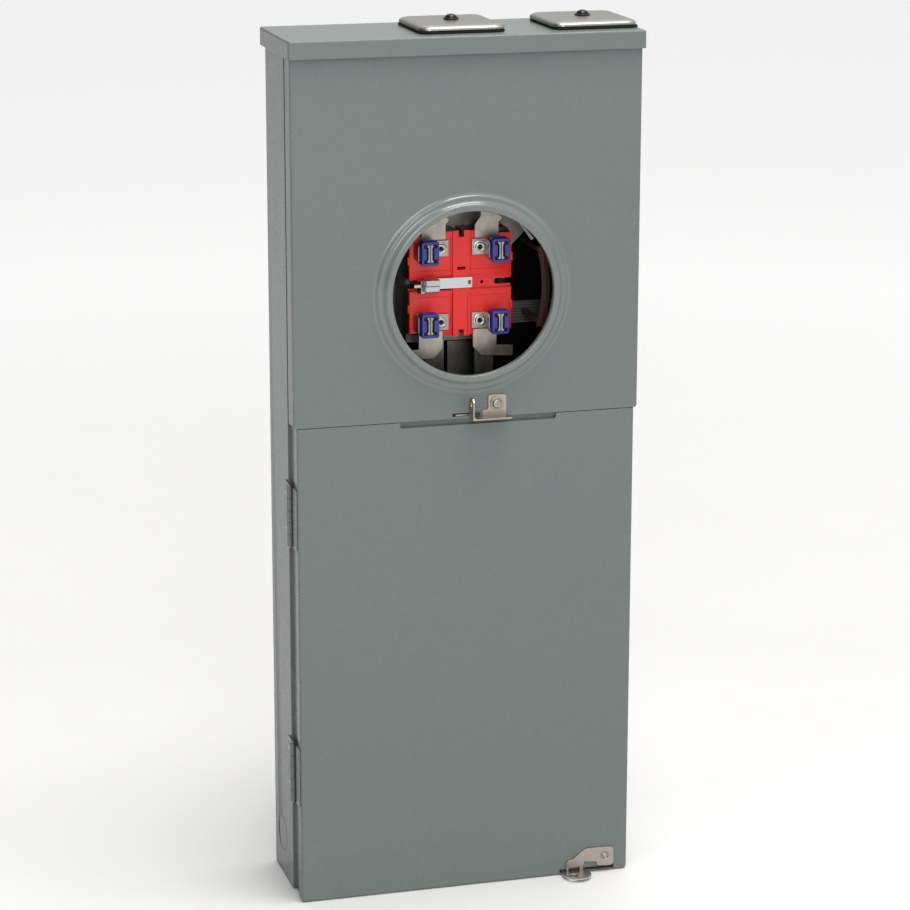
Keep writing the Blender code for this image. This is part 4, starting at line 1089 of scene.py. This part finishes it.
def build_marks():
    """Two marks of manufacture: the slit of a side knockout, drawn with its painted shadow as one black crescent,
    and a faint plugged hole in the cover.
    """
    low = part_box("back_box")[0]
    centre = SIDE_KNOCKOUT
    start, end = SLIT_ANGLES
    steps = 16
    outline = []
    for thinning, order in ((0.0, range(steps + 1)), (SLIT_SHADOW_WIDTH, range(steps - 1, 0, -1))):
        for i in order:
            angle = math.radians(start + (end - start) * i / steps)
            radius = SLIT_RADIUS - thinning * math.sin(math.pi * i / steps)
            outline.append((centre[0] + radius * math.cos(angle), centre[1] + radius * math.sin(angle)))
    # the slit and its painted shadow: a black crescent standing a hair proud of the side
    bm = bmesh.new()
    prism(bm, outline, "X", low[0] - 0.00006, low[0] + 0.0003)
    new_piece("knockout_slit_shadow", bm, "shade_black", "enclosure")
    ring = bmesh.new()
    turned(ring, [(0.0066, FACE_Y), (0.0067, FACE_Y - 0.00007), (0.0070, FACE_Y - 0.00007),
                  (0.0072, FACE_Y)], PLUG_MARK, "Y", 48)
    new_piece("cover_plug_mark", ring, "grey_paint", "meter_cover")


def build_hinge_rivets():
    """The bright rivets that hold each hinge's plate to the box, seated on the plate's outer face."""
    for level in ("upper", "lower"):
        low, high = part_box(f"hinge_leaf_{level}")
        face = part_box("breaker_door")[0][0] - HINGE_PLATE
        bm = bmesh.new()
        for share in (0.24, 0.83):
            z = low[2] + share * (high[2] - low[2])
            turned(bm, [(0, face + 0.0006), (0.0021, face + 0.0006), (0.0021, face - 0.0003),
                        (0.0018, face - 0.0008), (0.0011, face - 0.0011), (0, face - 0.0012)],
                   (RIVET_Y, z), "X", 24)
        new_piece(f"hinge_rivets_{level}", bm, "zinc_screw", "enclosure", 50)


def build_socket():
    for level in ("upper", "lower"):
        for side in ("left", "right"):
            build_clip(level, side)
            build_screw(level, side)
    build_block()
    build_bonding_details()
    build_socket_trim()
    build_latch_screw()
    build_door_rivet()
    build_hinge_rivets()
    build_marks()


# ---------------------------------------------------------------- stage, light and camera
def stage_material():
    s = Shader("pale_floor", NEAR_FLOOR, 0.6)
    near = s.tint(s.noise(3, 2), 0.01)
    distance = s.node("ShaderNodeVectorMath", operation="LENGTH")
    s.link(s.place, distance.inputs[0])
    away = s.remap(distance.outputs["Value"], *FLOOR_FADE, 0, 1)
    s.link(s.mix(away, near, FAR_FLOOR), s.surface.inputs["Base Color"])
    return s.material


def build_stage():
    bm = bmesh.new()
    reach = FLOOR_REACH
    corners = [(-reach, -reach), (reach, -reach), (reach, reach), (-reach, reach)]
    bm.faces.new([bm.verts.new((x, y, cad_box[0][2] - FLOOR_GAP)) for x, y in corners])
    mesh = bpy.data.meshes.new("floor")
    bm.to_mesh(mesh)
    bm.free()
    mesh.materials.append(stage_material())
    floor = bpy.data.objects.new("floor", mesh)
    bpy.context.scene.collection.objects.link(floor)


def softbox(name, position, aim, size, power, colour=(1.0, 1.0, 1.0)):
    lamp = bpy.data.lights.new(name, "AREA")
    lamp.shape = "RECTANGLE"
    lamp.size, lamp.size_y = size
    lamp.energy = power
    lamp.color = colour
    thing = bpy.data.objects.new(name, lamp)
    thing.location = position
    thing.rotation_euler = (Vector(aim) - Vector(position)).to_track_quat("-Z", "Y").to_euler()
    bpy.context.scene.collection.objects.link(thing)


def build_world():
    """A bright ceiling, grey walls and a darker left side; the camera itself sees plain white."""
    world = bpy.data.worlds.new("studio")
    world.use_nodes = True
    tree = world.node_tree
    background = tree.nodes["Background"]
    background.inputs["Color"].default_value = (1.0, 1.0, 1.0, 1.0)
    place_node = tree.nodes.new("ShaderNodeTexCoord")
    axes = tree.nodes.new("ShaderNodeSeparateXYZ")
    ramp = tree.nodes.new("ShaderNodeMapRange")
    ramp.inputs["From Min"].default_value = 0.0
    ramp.inputs["From Max"].default_value = CEILING_HEIGHT
    ramp.inputs["To Min"].default_value = WALL_LIGHT
    ramp.inputs["To Max"].default_value = CEILING_LIGHT
    shade = tree.nodes.new("ShaderNodeMapRange")
    shade.inputs["From Min"].default_value = SHADE_SPAN[0]
    shade.inputs["From Max"].default_value = SHADE_SPAN[1]
    shade.inputs["To Min"].default_value = LEFT_SHADE
    shade.inputs["To Max"].default_value = 1.0
    product = tree.nodes.new("ShaderNodeMath")
    product.operation = "MULTIPLY"
    path = tree.nodes.new("ShaderNodeLightPath")
    pick = tree.nodes.new("ShaderNodeMix")
    pick.inputs["B"].default_value = 1.0
    tree.links.new(place_node.outputs["Generated"], axes.inputs["Vector"])
    tree.links.new(axes.outputs["Z"], ramp.inputs["Value"])
    tree.links.new(path.outputs["Is Camera Ray"], pick.inputs["Factor"])
    tree.links.new(axes.outputs["X"], shade.inputs["Value"])
    tree.links.new(ramp.outputs["Result"], product.inputs[0])
    tree.links.new(shade.outputs["Result"], product.inputs[1])
    tree.links.new(product.outputs["Value"], pick.inputs["A"])
    tree.links.new(pick.outputs["Result"], background.inputs["Strength"])
    bpy.context.scene.world = world


def build_light():
    build_world()
    softbox("top_softbox", (0.25, -0.45, 2.2), (0.05, -0.05, 0.4), (1.1, 0.8), 30, WARM)
    softbox("left_softbox", (-1.0, -1.1, 1.5), (0, 0, 0.2), (0.06, 0.9), 3, WARM)
    softbox("front_softbox", (-0.5, -3.2, 1.1), (0, 0, 0), (1.2, 1.6), 32)
    softbox("left_glow", (-0.50, -0.06, 0.02), (-0.17, -0.05, 0.0), (0.10, 0.10), 0.10, WARM)
    bpy.context.scene.view_settings.view_transform = "Standard"


def build_camera():
    """The camera, in front of the box, a little above it and to its left."""
    yaw, pitch, roll = (math.radians(angle) for angle in CAMERA_ANGLES)
    forward = Vector((math.sin(yaw) * math.cos(pitch), math.cos(yaw) * math.cos(pitch), -math.sin(pitch)))
    right = Vector((math.cos(yaw), -math.sin(yaw), 0))
    up = right.cross(forward)
    tilted_right = right * math.cos(roll) + up * math.sin(roll)
    tilted_up = up * math.cos(roll) - right * math.sin(roll)
    camera = bpy.data.cameras.new("camera")
    camera.lens = CAMERA_LENS
    camera.sensor_width = CAMERA_SENSOR
    thing = bpy.data.objects.new("camera", camera)
    turn = Matrix((tilted_right, tilted_up, -forward)).transposed()
    thing.matrix_world = Matrix.Translation(CAMERA_PLACE) @ turn.to_4x4()
    bpy.context.scene.collection.objects.link(thing)
    bpy.context.scene.camera = thing


build_cover()
build_door()
build_cap()
for side in ("left", "right"):
    build_hub(side)
finish_carried_over()
build_socket()
build_stage()
build_light()
build_camera()
